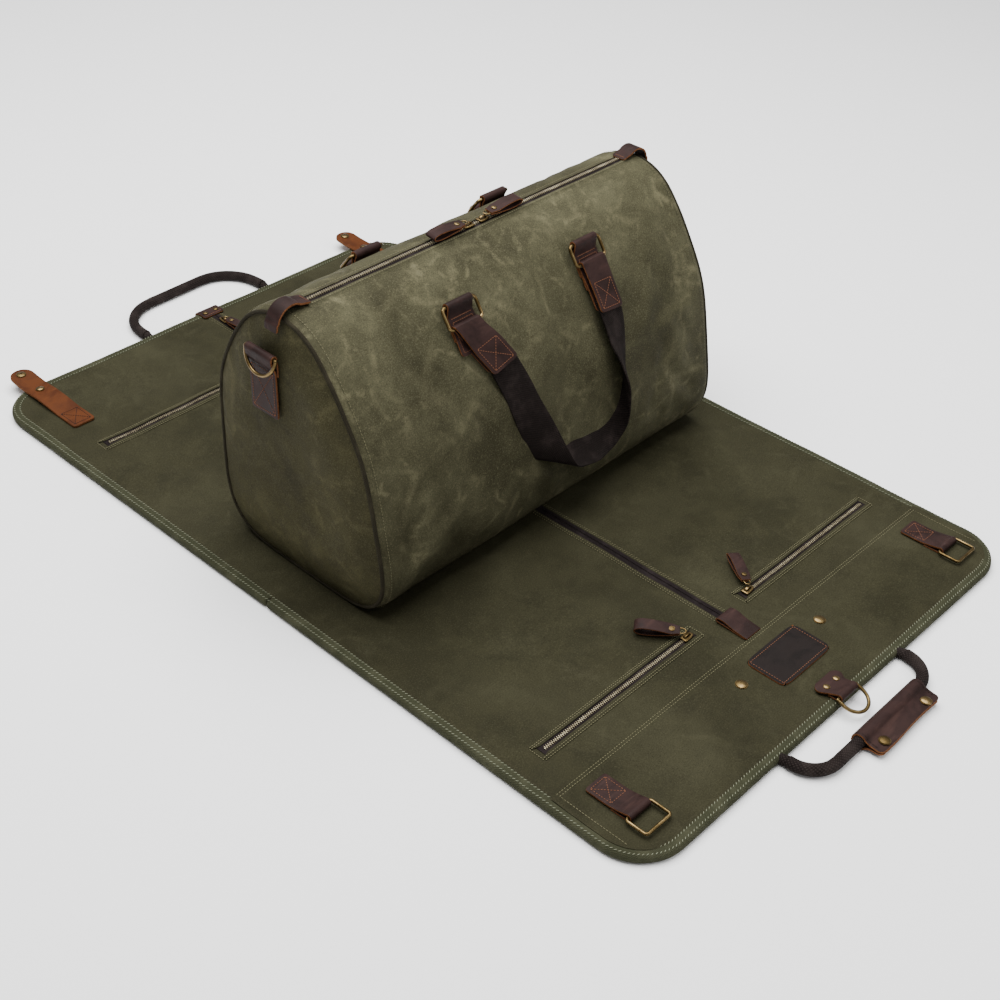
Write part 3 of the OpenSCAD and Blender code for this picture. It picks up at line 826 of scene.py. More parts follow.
# the tape's cross-section, as (in from the panel's edge, height), closed on itself
BIND_PROFILE = [
    (11.8, 9.25), (8.0, 10.0), (4.2, 10.0), (1.5, 9.1), (0.25, 7.2), (0.0, 5.0),
    (0.25, 2.8), (1.5, 0.9), (4.2, 0.05), (11.8, 0.05), (11.9, 4.5), (11.8, 9.25),
]


def binding(name, side, nodes):
    """Woven tape folded over the panel's edge, rippled a little where it is sewn."""
    line, out, at = rim_line(side, 0.0)
    obj, i, j = grid(len(line) - 1, len(BIND_PROFILE) - 1)
    p = np.array(BIND_PROFILE)[j]
    top = np.clip((p[:, 1] - 4) / 5, 0, 1)
    ripple = 0.35 * np.sin(at[i] / 4.1) * np.sin(at[i] / 23) + 0.25 * np.sin(at[i] / 37)
    x, y = (line[i] - out[i] * (p[:, 0] - 0.25 * ripple * (p[:, 0] < 3))[:, None]).T
    z = p[:, 1] + lift(x, y) * top + 0.22 * ripple * top
    place_points(obj, np.stack([x, y, z], 1) * MM)
    lay_cloth(obj, at[i], lengths(np.array(BIND_PROFILE))[j])
    close_seam(obj)
    modify(obj, "SUBSURF", levels=1, render_levels=1)
    obj.data.materials.append(BINDING)
    finish(obj, name, stands_for=nodes, angle=60)
    over_fold(obj, side)
    group = "near_panel" if side < 0 else "far_panel"
    for depth, sunk in ((9.6, 0.35), (3.4, 0.12)):
        inner = rim_line(side, depth)[0]
        row = np.column_stack([inner, 10.0 + lift(inner[:, 0], inner[:, 1]) - sunk])
        sew_up(group, EDGE_THREAD, row, pitch=3.9, length=3.0, width=0.7, slant=38)


def on_face(x, y, rise):
    """Points on the panel's rippled face, raised by rise."""
    x, y = np.broadcast_arrays(np.asarray(x, float), y)
    return np.column_stack([x, y, PANEL_TOP + rise + lift(x, y)])


def sew_face(group, thread, points, rise, **how):
    """Stitches on the panel's face, through the given (x, y) corners."""
    p = np.array(points, float)
    marks = lengths(p)
    p = pick(p, np.linspace(0, marks[-1], max(6, int(marks[-1] / 3))), marks)
    sew_up(group, thread, on_face(p[:, 0], p[:, 1], rise), **how)


# each layer's word, underside, top, slot and finish
LAYERS = (
    ("canvas_face", "front_canvas", 7.4, PANEL_TOP, "panel_canvas", PANEL_CANVAS),
    ("felt_core", "padding", 1.6, 7.4, "padding_foam", FELT),
    ("canvas_back", "back_canvas", 0.05, 1.6, "panel_canvas", PANEL_CANVAS),
)
for side, word in ((-1, "near"), (1, "far")):
    ends = (-HALF_LEN, 0.0) if side < 0 else (0.0, HALF_LEN)
    # the near half's pieces also stand for the middle's
    words = (word, "middle") if side < 0 else (word,)
    made = []
    for kind, node, low, high, slot, material in LAYERS:
        nodes = [f"{part}_{node}" for part in words]
        made.append(panel_layer(f"{word}_{kind}", *ends, low, high, slot, material, nodes))
    for layer in made:
        over_fold(layer, side)
    binding(word + "_edge_binding", side, [part + "_binding" for part in words])


# The band across the near edge: a turned strip of canvas, sewn down with two close rows
def near_band():
    inset = BIND_W - 4
    rows = np.unique(np.concatenate([np.linspace(-472, -420, 14), np.linspace(-415, BAND_Y, 14)]))
    across = 150
    obj, i, j = grid(len(rows) - 1, across)
    y = rows[i]
    x = (j / across * 2 - 1) * -rim_inset(rows, inset)[i]
    puffed = 0.5 * np.exp(-(((y - BAND_Y + 9) / 6) ** 2)) * (1 + 0.6 * np.sin(x / 7.3) * np.sin(x / 31))
    droop = -0.9 * np.exp(-(((y - BAND_Y) / 1.6) ** 2))
    flat = np.clip((y + 474) / 14, 0, 1)
    z = PANEL_TOP + lift(x, y) + BAND_RISE * (0.25 + 0.75 * flat) + puffed + droop
    y = y + np.where(y > BAND_Y - 1, 0.35 * np.sin(x / 21), 0)
    place_points(obj, np.stack([x, y, z], 1) * MM)
    lay_cloth(obj, x + 300, y + 900)
    obj.data.materials.append(PANEL_CANVAS)
    thicken(obj, 1.0)
    finish(obj, "near_edge_band", body="near_wing", angle=50, stands_for=["near_band"])
    for back, lifted in ((1.6, 1.2), (5.2, 1.95)):
        row = [(-290, BAND_Y - back), (290, BAND_Y - back)]
        sew_face("near_wing", PALE_THREAD, row, lifted, pitch=3.2, length=2.3, width=0.8)
    for x in (-289, 289):
        sew_face("near_wing", PALE_THREAD, [(x, BAND_Y - 80), (x, BAND_Y - 6)], 1.7, pitch=3.4)


near_band()


def zip_teeth(name, line_of, length, body, pitch=1.2):
    """A closed row of teeth along +X, set by turns from the left and from the right."""
    count = int(length / pitch)
    where = line_of((np.arange(count) + 0.5) * length / count)
    run, up = np.tile([1.0, 0, 0], (count, 1)), np.tile(UP, (count, 1))
    side = np.cross(up, run)
    by_turns = np.where(np.arange(count) % 2, 1.0, -1.0)[:, None]
    obj = copies(name, TOOTH, where + side * by_turns * 0.75, side * by_turns, run, up)
    finish(obj, name, [TEETH_BRASS], body, angle=30)


POCKET_TAPE = 12.4


def pocket_zip(word, sign, side, body, stands_for):
    """A welt zip in the panel: a slit with tape, teeth and a sewn frame round it."""
    x0, x1 = sign * ZIP_IN, sign * ZIP_OUT
    first, last = min(x0, x1), max(x0, x1)
    name = f"{word}_{'left' if sign < 0 else 'right'}_pocket"
    y = side * ZIP_Y
    mid = np.linspace(first, last, int((last - first) / 5))
    edges = [on_face(mid, y + across, 0.75) for across in (-POCKET_TAPE / 2, POCKET_TAPE / 2)]
    tape = strip(Ribbon(*edges, smooth=False), 0.6, [ZIP_TAPE], step=4.0)
    finish(tape, name + "_tape", body=body, stands_for=stands_for)
    zip_teeth(name + "_teeth", lambda at: on_face(first + 4 + at, y, 1.15), ZIP_OUT - ZIP_IN - 8, body)
    # the canvas lips either side of the tape stand a little proud of it
    lips = []
    for edge in (-1, 1):
        count = 60
        x = np.linspace(first - 4, last + 4, count)
        ease = np.clip((x - x[0]) / 8, 0, 1) * np.clip((x[-1] - x) / 8, 0, 1)
        wave = (0.5 + (1.1 if side > 0 else 0.3) * np.sin(x / (13 + 3 * edge) + edge)) * ease
        inner = y + edge * (4.7 - 0.5 * wave + 2.2 * (1 - ease))
        outer = np.full(count, y + edge * 10.5)
        crest = 1.15 + 0.5 * ease + 0.25 * wave
        ribbon = between(on_face(x, inner, crest), on_face(x, outer, 0.12), edge)
        lips.append(strip(ribbon, 0.9, [PANEL_CANVAS], (3, 3), 4.0, soft=0.3, puff=0.35))
    finish(join(lips), name + "_lips", body=body)
    for edge in (-1, 1):
        for off, rise in ((7.4, 1.37), (9.8, 0.77)):
            row = [(x0 - sign * 5, y + edge * off), (x1 + sign * 5, y + edge * off)]
            sew_face(body, PALE_THREAD, row, rise, pitch=2.9, length=2.2, width=0.85)
    for x in (x0 - sign * 5.5, x1 + sign * 5.5):
        sew_face(body, PALE_THREAD, [(x, y - 9), (x, y + 9)], 0.45, pitch=2.6, length=2.1, width=0.85)


for side, word in ((-1, "near"), (1, "far")):
    for sign in (-1, 1):
        pocket_zip(word, sign, side, word + "_wing", [word + "_pocket_zips"] if sign < 0 else [])


def centre_zip(word, y0, y1, nodes):
    """The zip up the middle of the panel: two dark tapes that meet, between canvas lips."""
    side, zone = (-1, "near_panel") if y1 <= 0 else (1, "far_panel")
    y = np.linspace(y0, y1, int((y1 - y0) / 5))
    tapes, lips = [], []
    for sign in (-1, 1):
        ribbon = between(on_face(sign * 6.4, y, 0.7), on_face(sign * 0.35, y, 1.55), sign)
        tapes.append(strip(ribbon, 0.7, [ZIP_TAPE], step=5.0, across=5, soft=0.25, puff=0.5))
        edit(tapes[-1], WHOLE, OUTWARD)
    for sign in (-1, 1):
        wave = 0.25 * np.sin(y / 17 + sign)
        inner, outer = on_face(sign * (5.2 - wave), y, 1.3 + 0.2 * wave), on_face(sign * 11.0, y, 0.1)
        ribbon = between(outer, inner, sign)
        lips.append(strip(ribbon, 0.8, [PANEL_CANVAS], step=5.0, across=5, soft=0.3, puff=0.3))
        for off, rise in ((7.6, 1.1), (10.2, 0.5)):
            row = [(sign * off, y0), (sign * off, y1)]
            sew_face(zone, PALE_THREAD, row, rise, pitch=3.2, length=1.9, width=0.7, slant=25 * sign)
    over_fold(finish(join(tapes), word + "_centre_zip_tape", stands_for=nodes), side)
    over_fold(finish(join(lips), word + "_centre_zip_lips"), side)


centre_zip("near", -352.0, 0.0, ["centre_zip_near", "centre_zip_middle"])
centre_zip("far", 0.0, 462.0, ["centre_zip_far"])


def zip_end_tab():
    """A folded leather loop that covers the end of the centre zip, tucked under the band."""
    side_view = [
        (-368, 11.2), (-352, 12.8), (-340, 15.6), (-332.5, 15.2), (-330.6, 12.9),
        (-333.5, 11.4), (-343, 11.3), (-356, 10.4), (-366, 10.2),
    ]
    line = [(0, y, z + float(lift(0.0, y))) for y, z in side_view]
    ribbon = straight_ribbon(line, (1, 0, 0), 23)
    obj = leather(ribbon, 1.7, step=1.2)
    finish(obj, "centre_zip_leather_tab", body="near_wing", stands_for=["centre_zip_tab"])


zip_end_tab()


PATCH_Y, PATCH_HALF = -409, (39.5, 23)


def patch():
    """A blank leather patch, sewn round close to its raw edge."""
    bpy.ops.mesh.primitive_grid_add(x_subdivisions=40, y_subdivisions=24, size=2)
    obj = bpy.context.object
    co = points_of(obj)
    wide, tall = PATCH_HALF
    x, y = co[:, 0] * wide, co[:, 1] * tall
    dull = 1 - 0.10 * ((np.abs(x) / wide) ** 8 * (np.abs(y) / tall) ** 8)
    x, y = x * dull, y * dull
    thin = 0.25 * np.exp(-((np.minimum(wide - np.abs(x), tall - np.abs(y)) - 3.2) ** 2) / 1.2)
    rise = BAND_RISE + 1.9 - thin + 0.12 * np.sin(x / 9) * np.sin(y / 7)
    place_points(obj, on_face(x, y + PATCH_Y, rise) * MM)
    obj.data.materials.append(PATCH_LEATHER)
    obj.data.materials.append(RAW_EDGE)
    thicken(obj, 2.0, rim=1)
    modify(obj, "BEVEL", width=0.45 * MM, segments=3, limit_method="ANGLE", angle_limit=math.radians(50))
    finish(obj, "blank_leather_patch", body="near_wing", stands_for=["leather_patch"])
    w, low, high = 36.0, PATCH_Y - 19.5, PATCH_Y + 19.5
    corners = [(-w, low), (w, low), (w, high), (-w, high), (-w, low)]
    for k in range(4):
        row = corners[k : k + 2]
        sew_face("near_wing", RUST_THREAD, row, BAND_RISE + 1.75, pitch=3.0, length=2.3, width=0.8)


patch()


def snap_caps():
    caps = []
    for x in (-65, 65):
        z = PANEL_TOP + BAND_RISE + float(lift(x, -401.0))
        caps.append(stud((x, -401, z), UP, 6.2, 2.4))
    for dx in (-8, 8):
        caps.append(stud((-6 + dx, -461, 14.9), UP, 3.3, 1.5))
    name = "near_snap_caps_and_rivets"
    finish(join(caps), name, [BRASS], "near_wing", stands_for=["near_studs"])


snap_caps()


def edge_tab():
    """A fan-shaped tab folded round the ring at the near edge."""
    bar_y, bar_z, r = -478.0, 14.9, 3.2
    # each row is (y, z, half the tab's width)
    rows = [(-451.0, 13.6, 19.0), (-456, 13.9, 19.2), (-461, 14.0, 17.8)]
    rows += [(-466, 14.2, 14.6), (-471, 15.6, 13.4)]
    for t in np.linspace(-0.5, 3.0, 9):
        rows.append((bar_y - r * math.sin(t), bar_z + r * math.cos(t), 13.2))
    rows += [(-474.0, 11.5, 13.2), (-466.0, 11.4, 13.2)]
    left, right = ([(-6 + s * w, y, z) for y, z, w in rows] for s in (-1, 1))
    obj = leather(Ribbon(left, right), 2.0, corners=(9, 0), across=10)
    finish(obj, "near_edge_ring_tab", body="near_wing", stands_for=["near_edge_tab"])


edge_tab()


def corner_tabs():
    tabs = []
    for sign in (-1, 1):
        x, bar_y, bar_z, r = sign * 256.0, -431.0, 15.0, 3.1
        lay = PANEL_TOP + BAND_RISE + float(lift(x, -400.0))
        upper = [(-383.0, lay + 2.2), (-392, lay + 2.3), (-408, lay + 2.6), (-420, lay + 4.6)]
        around = [(bar_y - r * math.sin(t), bar_z + r * math.cos(t)) for t in np.linspace(-0.7, 3.0, 9)]
        under = [(-424.0, lay + 1.0), (-412, lay + 0.7)]
        ribbon = straight_ribbon([(x, y, z) for y, z in upper + around + under], (1, 0, 0), 27)
        tabs.append(leather(ribbon, 1.9, corners=(3, 0)))
        sew_box(ribbon, "near_wing", RUST_THREAD, 3.5, 27, 10, above=1.0, pitch=2.8, length=2.2, width=0.7)
    name, nodes = "corner_ring_leather_tabs", ["corner_ring_tabs"]
    finish(join(tabs), name, body="near_wing", stands_for=nodes)


corner_tabs()

# ---- panel handles ----


CORD_ROOT, CORD_Z = 7.0, 6.6


def handle_cord(word, middle_x, half, reach, bend, sign, sag):
    """A round woven handle whose ends go in under the panel's binding."""
    foot, straight = HALF_LEN + CORD_ROOT, half - bend
    top = foot + reach
    turn = np.linspace(0, math.pi / 2, 6)
    x = np.concatenate([[half], straight + bend * np.cos(turn)])
    y = np.concatenate([[foot - 0.5], top - bend + bend * np.sin(turn)])
    share = np.array([-0.85, -0.5, 0, 0.5, 0.85])
    x = np.concatenate([-x, share * straight, x[::-1]])
    y = np.concatenate([y, np.full(len(share), top), y[::-1]])
    y = y + sag * np.sin(x / half * 2.2) * np.clip((y - foot) / reach, 0, 1)
    line = np.column_stack([middle_x + x, sign * y, np.full(len(x), CORD_Z)])
    obj = tube(line, 6.1, [CORD_BRAID], sides=24)
    node = word + "_handle_cord"
    finish(obj, word + "_handle_braid", body=word + "_handle", angle=60, stands_for=[node])
    roots = []
    for x in (middle_x - half, middle_x + half):
        # each step is (out from the panel's edge, height)
        steps = ((-3, 4.4), (1, 4.7), (4, 5.9), (CORD_ROOT, CORD_Z))
        run = [(x, sign * (HALF_LEN + out), height) for out, height in steps]
        roots.append(tube(run, 5.4, [CORD_BRAID], sides=20, step=1.5))
    finish(join(roots), word + "_handle_braid_roots", body=word + "_wing", angle=60)


handle_cord("near", -12.0, 99.0, 31.0, 30.0, -1, 0.0)
handle_cord("far", 5.0, 92.0, 62.0, 52.0, 1, 1.5)


def wrap_leaf(upper):
    """Half of the leather sleeve on the near handle, with the leaf that snaps shut."""
    y0, z0, r, x0, x1 = -518.0, 6.5, 7.6, -45.0, 57.0
    s = 1.0 if upper else -1.0
    leaf = [(-23.5, -0.6), (-18, -1.1), (-12, -1.5), (-8.6, -2.6)]
    if upper:
        leaf = [(-23.5, 1.9), (-17, 2.2), (-11.5, 2.7), (-8.0, 3.8)]
    leaf = [(y0 + y, z0 + z) for y, z in leaf]
    round_ = [(y0 - r * math.cos(t), z0 + s * r * math.sin(t)) for t in np.linspace(0.62, math.pi - 0.03, 12)]
    left, right = ([(x, y, z) for y, z in leaf + round_] for x in (x0, x1))
    ribbon = Ribbon(right, left) if upper else Ribbon(left, right)
    obj = leather(ribbon, 2.0, corners=(5, 0), step=1.4, across=36)
    co = points_of(obj) / MM
    wave = 0.35 * np.sin(co[:, 0] / 13 + 0.8) * np.clip((y0 + 2 - co[:, 1]) / 20, 0, 1)
    co[:, 2] += wave
    co[:, 1] += 0.8 * np.sin(co[:, 0] / 17) * np.clip((y0 - 14 - co[:, 1]) / 8, 0, 1)
    place_points(obj, co * MM)
    return obj, ribbon


lower, _ = wrap_leaf(False)
finish(lower, "handle_wrap_under", body="near_handle", stands_for=["handle_wrap"])
upper, upper_ribbon = wrap_leaf(True)
finish(upper, "handle_wrap_leaf", body="wrap_flap", stands_for=["handle_wrap_flap"])
caps = [stud((6 + s * 36, -535, 9.9), UP, 5.8, 2.4) for s in (-1, 1)]
caps = join(caps)
finish(caps, "handle_wrap_caps", [BRASS], "wrap_flap", stands_for=["handle_wrap_snaps"])
for s in (-1, 1):
    sew_on(upper_ribbon, "wrap_flap", DARK_THREAD, [(6, s * 48), (26, s * 48)], above=1.0, pitch=3.2)


# ---- tan straps and far edge tab ----


# how a tan strap lies, as (y, rise over its sewn end)
STRAP_RISE = (
    (374, 0), (390, 0.1), (405, 0), (414, 0.6), (430, 2.0),
    (450, 2.6), (468, 1.6), (484, 2.2), (498, 3.4), (511, 4.2),
)


def tan_strap(sign):
    """A tan strap: sewn at one end, loose and a little lifted at the other."""
    x = sign * 254.0
    word = "left" if sign < 0 else "right"
    body, nodes = "strap_" + word, ["far_strap_" + word] + (["far_strap_bases"] if sign < 0 else [])
    lay = PANEL_TOP + 3.1 + float(lift(x, 390.0))
    ribbon = straight_ribbon([(x, y, lay + rise) for y, rise in STRAP_RISE], (-1, 0, 0), 28)
    obj = strip(ribbon, 2.6, [TAN_LEATHER, RAW_EDGE], corners=(4, 13.5), step=2.2, across=8)
    finish(obj, f"far_{word}_tan_strap", stands_for=nodes)
    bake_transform(obj)
    sew_box(ribbon, "far_wing", DARK_THREAD, 4, 31, 10.5, above=0.05, pitch=2.7, length=2.2, width=0.8)
    place, face, _ = ribbon.spot([88.5, 127.0], [0.0, 0.0])
    ball = stud(place[0], face[0], 5.2, 2.6)
    eyelet = stud(place[1], face[1], 5.8, 1.9, hole=1.6)
    finish(join([ball, eyelet]), f"far_{word}_strap_snaps", [BRASS], body)


tan_strap(-1)
tan_strap(1)


def far_tab():
    line = [(462.5, 11.6), (468, 11.9), (474, 11.9), (479.5, 11.4), (482.4, 8.8), (482.6, 5.0), (482.2, 2.0)]
    ribbon = straight_ribbon([(0, y, z) for y, z in line], (-1, 0, 0), 30)
    obj = leather(ribbon, 1.8, corners=(3, 0))
    finish(obj, "far_edge_leather_tab", body="far_wing", stands_for=["far_edge_tab"])
    rivets = [stud((s * 8, 471, 12.7), UP, 3.4, 1.6) for s in (-1, 1)]
    finish(join(rivets), "far_edge_rivets", [BRASS], "far_wing")
    sew_on(ribbon, "far_wing", RUST_THREAD, [(3, -12.5), (3, 12.5)], above=0.95, pitch=2.8)


far_tab()

# ---- duffel ----

DUFFEL_X = 6.0
SEAM_X, SHOULDER_X = 252.0, 236.0
DUFFEL_CLOTH = 1.4
# the arcs of the cross-section, as (y, z, radius), and how far their joins are rounded off
ROUNDS = np.array([(-70, 51.3, 42), (75, 59.3, 50), (58, 181, 66), (25, 229, 72), (-10, 159, 80)], float)
SOFTEN = 22.0


def facing(line):
    """The outward way at each point of a closed outline that runs from the ridge to the front."""
    run = np.roll(line, -1, 0) - np.roll(line, 1, 0)
    return np.column_stack([run[:, 1], -run[:, 0]])


def section(inset, count):
    """Points and outward ways round the duffel's cross-section, from the ridge to the front."""
    turn = np.linspace(0, 2 * math.pi, 5400, endpoint=False) + math.pi / 2
    way = np.stack([np.cos(turn), np.sin(turn)], 1)
    reach = way @ ROUNDS[:, :2].T + ROUNDS[:, 2] - inset
    best = np.argmax(reach, 1)
    line = ROUNDS[best, :2] + (ROUNDS[best, 2] - inset)[:, None] * way
    line = np.vstack([line, line[:1]])
    marks = lengths(line)
    even = np.linspace(0, marks[-1], 2401)[:-1]
    line = pick(line, even, marks)
    # round the arcs' joins off with a soft average, but not beside the zip
    waves = np.fft.fftfreq(len(line), marks[-1] / len(line))
    soften = np.exp(-2 * (math.pi * SOFTEN * waves) ** 2)[:, None]
    soft = np.real(np.fft.ifft(np.fft.fft(line, axis=0) * soften, axis=0))
    soft += unit(facing(soft)) * (SOFTEN**2 / 170)
    share = np.clip((np.minimum(even, marks[-1] - even) - 30) / 60, 0, 1)[:, None]
    line = line + (soft - line) * share * share * (3 - 2 * share)
    way = facing(line)
    line, way = np.vstack([line, line[:1]]), np.vstack([way, way[:1]])
    marks = lengths(line)
    at = np.linspace(0, marks[-1], count + 1)[:-1]
    return pick(line, at, marks), unit(pick(way, at, marks)), marks[-1]


AROUND = 168
PLAIN, PLAIN_WAY, GIRTH = section(0.0, AROUND)
FINE, FINE_WAY, _ = section(0.0, 2000)


def skin(y, z):
    """The nearest point of the plain section, and the way out of it."""
    k = int(np.argmin(np.hypot(FINE[:, 0] - y, FINE[:, 1] - z)))
    return FINE[k], FINE_WAY[k]


def dents(x, y, z):
    """How far the duffel's canvas stands in or out of its plain shape, in millimetres."""
    out = np.zeros(len(x))
    for k in range(len(x)):
        p = (x[k] / 95, y[k] / 95, z[k] / 95)
        q = (x[k] / 42 + 7, y[k] / 42, z[k] / 42)
        out[k] = 2.6 * noise.noise(p) + 1.1 * noise.noise(q)
    return out


def fold_line(x, s, x0, s0, x1, s1, deep, wide):
    """A soft crease across the canvas from one place to another."""
    run = np.array([x1 - x0, s1 - s0], float)
    long = np.linalg.norm(run)
    run /= long
    along = (x - x0) * run[0] + (s - s0) * run[1]
    off = (x - x0) * -run[1] + (s - s0) * run[0]
    fade = np.clip(along / long * 4, 0, 1) * np.clip((long - along) / long * 4, 0, 1)
    valley, crest = np.exp(-((off / wide) ** 2)), np.exp(-(((off - 1.7 * wide) / wide) ** 2))
    return -deep * fade * (valley - 0.6 * crest)


PRESSURE, STEPS, CAP = 1.6, 20, 5.0


def puff(obj, held):
    """Settles the cloth over a little air, keeping every point within CAP of its place."""
    start = points_of(obj)
    group = obj.vertex_groups.new(name="held")
    for level in np.unique(np.round(held, 1)):
        chosen = np.nonzero(np.round(held, 1) == level)[0].tolist()
        if level > 0:
            group.add(chosen, float(level), "REPLACE")
    only(obj)
    cloth = obj.modifiers.new("settle", "CLOTH")
    how = cloth.settings
    how.quality = 5
    how.mass = 0.25
    how.tension_stiffness = how.compression_stiffness = 18
    how.shear_stiffness = 8
    how.bending_stiffness = 0.6
    how.use_pressure = True
    how.uniform_pressure_force = PRESSURE
    how.shrink_min = -0.012
    how.effector_weights.gravity = 0
    how.vertex_group_mass = "held"
    scene = bpy.context.scene
    for step in range(1, STEPS + 1):
        scene.frame_set(step)
    bpy.ops.object.modifier_apply(modifier=cloth.name)
    scene.frame_set(1)
    moved = points_of(obj) - start
    far = np.linalg.norm(moved, axis=1, keepdims=True)
    place_points(obj, start + moved * np.minimum(1, CAP * MM / np.maximum(far, 1e-9)))
    obj.vertex_groups.clear()


def shell_columns():
    """The places along the duffel's length where its cloth has a row, closer at the seams."""
    plain = np.linspace(-SHOULDER_X, SHOULDER_X, int(2 * SHOULDER_X / 5.6))
    turned = SHOULDER_X + (SEAM_X - SHOULDER_X) * np.sin(np.linspace(0, math.pi / 2, 5))[1:]
    return np.concatenate([-turned[::-1], plain, turned])


def duffel_shell():
    columns = shell_columns()
    obj, i, j = grid(len(columns) - 1, AROUND)
    x = columns[i]
    over = np.clip((np.abs(columns) - SHOULDER_X) / (SEAM_X - SHOULDER_X), 0, 1)
    inset = 5.0 * (1 - np.sqrt(1 - over**2 * 0.98))
    yz, way = PLAIN[j % AROUND], PLAIN_WAY[j % AROUND]
    y, z = yz[:, 0] - way[:, 0] * inset[i], yz[:, 1] - way[:, 1] * inset[i]
    s = j / AROUND * GIRTH
    # free canvas moves; the zip, the end seams, the anchors and the base stay
    arc = np.minimum(s, GIRTH - s)
    near_zip = np.clip((arc - 12) / 45, 0, 1)
    near_seam = np.clip((SEAM_X - 4 - np.abs(x)) / 40, 0, 1)
    on_base = np.clip((z - 12) / 30, 0, 1)
    anchors = np.ones(len(x))
    for ax in (-91, 91):
        for ay, az in ((-54, 256), (99, 258)):
            gap = np.sqrt((x - ax) ** 2 + (y - ay) ** 2 + (z - az) ** 2)
            anchors = np.minimum(anchors, np.clip((gap - 34) / 40, 0, 1))
    free = near_zip * near_seam * on_base * anchors
    out = dents(x, y, z) - 1.4
    for fold in FOLDS:
        out += fold_line(x, s, *fold)
    pucker = 0.5 * np.sin(s / 5.3) * np.sin(s / 31) * np.exp(-(((SEAM_X - 9 - np.abs(x)) / 7) ** 2))
    out = out * free + pucker * on_base
    y, z = y + way[:, 0] * out, z + way[:, 1] * out
    place_points(obj, np.stack([x + DUFFEL_X, y, z], 1) * MM)
    lay_cloth(obj, x, s)
    held = 1 - free
    # roll the sheet shut round the duffel
    order = points_of(obj)
    edit(obj, WHOLE, WELD, OUTWARD)
    key = {tuple(np.round(p, 7)): h for p, h in zip(order, held)}
    held = np.array([key.get(tuple(np.round(p, 7)), 1.0) for p in points_of(obj)])
    puff(obj, held)
    modify(obj, "SMOOTH", factor=0.5, iterations=2)
    modify(obj, "SUBSURF", levels=1, render_levels=1)
    obj.data.materials.append(DUFFEL_CANVAS)
    thicken(obj, DUFFEL_CLOTH)
    finish(obj, "duffel_canvas_body", body="duffel", angle=60, stands_for=["duffel_body"])


# creases in the canvas: from (x, place round the section) to (x, place), depth and width
FOLDS = [
    (-242, 300, -150, 240, 2.4, 9),
    (-240, 245, -178, 205, 1.8, 7),
    (-236, 330, -205, 250, 2.0, 8),
    (236, 300, 170, 240, 1.8, 9),
    (238, 235, 190, 190, 1.6, 8),
    (-60, 250, 40, 300, 1.6, 10),
    (40, 120, 170, 150, 1.2, 9),
    (-180, 90, -120, 160, 1.4, 9),
    (150, 180, 235, 165, 1.8, 9),
    (-238, 700, -150, 760, 2.0, 9),
    (238, 700, 160, 770, 2.0, 9),
    (-20, 760, 90, 700, 1.6, 10),
]


# the rings of an end panel, as shares of the way from its seam to its middle, and that middle's disc
END_RINGS = (0.0, 0.035, 0.08, 0.13, 0.2, 0.28, 0.37, 0.46, 0.56, 0.66, 0.76, 0.86, 0.95)
HEART_R = 9.6


def end_panel(sign):
    """A crowned end panel, from its seam to its middle."""
    obj, i, j = grid(len(END_RINGS) - 1, AROUND)
    rim = section(5.0, AROUND)[0][j % AROUND]
    heart = np.array([2.0, 150.0])
    depth = np.array(END_RINGS)[i]
    yz = rim + (heart - rim) * depth[:, None]
    bulge = 13.2 * (1 - (1 - np.clip(depth / 0.42, 0, 1)) ** 2.1)
    y, z = yz[:, 0], yz[:, 1]
    broad = [noise.noise((a / 48, b / 48, 3.0 + sign)) for a, b in zip(y, z)]
    small = [noise.noise((a / 22, b / 22, 9.0)) for a, b in zip(y, z)]
    wrinkle = np.array(broad) + 0.5 * np.array(small)
    fade = np.clip(depth / 0.12, 0, 1)
    s = j / AROUND * GIRTH
    pucker = 0.5 * np.sin(s / 5.0) * np.exp(-(((depth - 0.07) / 0.05) ** 2))
    bulge = bulge - 1.0 * fade + 1.5 * wrinkle * fade + pucker
    x = DUFFEL_X + sign * (SEAM_X + 0.4 + bulge)
    place_points(obj, np.stack([x, y, z], 1) * MM)
    lay_cloth(obj, y, z)
    edit(obj, WHOLE, WELD)
    # close the middle with a flat disc of cloth
    clear_choice(obj)
    co = points_of(obj)
    middle = np.hypot(co[:, 1] - heart[0] * MM, co[:, 2] - heart[1] * MM)
    for k in np.nonzero(middle < HEART_R * MM)[0]:
        obj.data.vertices[int(k)].select = True
    vertices = ("select_mode", {"type": "VERT"})
    edit(obj, vertices, ("edge_face_add", {}), ("poke", {}), WHOLE, OUTWARD)
    if np.mean([p.normal.x * sign for p in obj.data.polygons]) < 0:
        edit(obj, WHOLE, ("flip_normals", {}))
    # the darkened canvas gives the ends painted shade
    obj.data.materials.append(SHADED_END_CANVAS)
    modify(obj, "SUBSURF", levels=1, render_levels=1)
    thicken(obj, DUFFEL_CLOTH)
    word = "left" if sign < 0 else "right"
    nodes = ["duffel_ends"] if sign < 0 else []
    finish(obj, f"duffel_{word}_end", body="duffel", angle=60, stands_for=nodes)


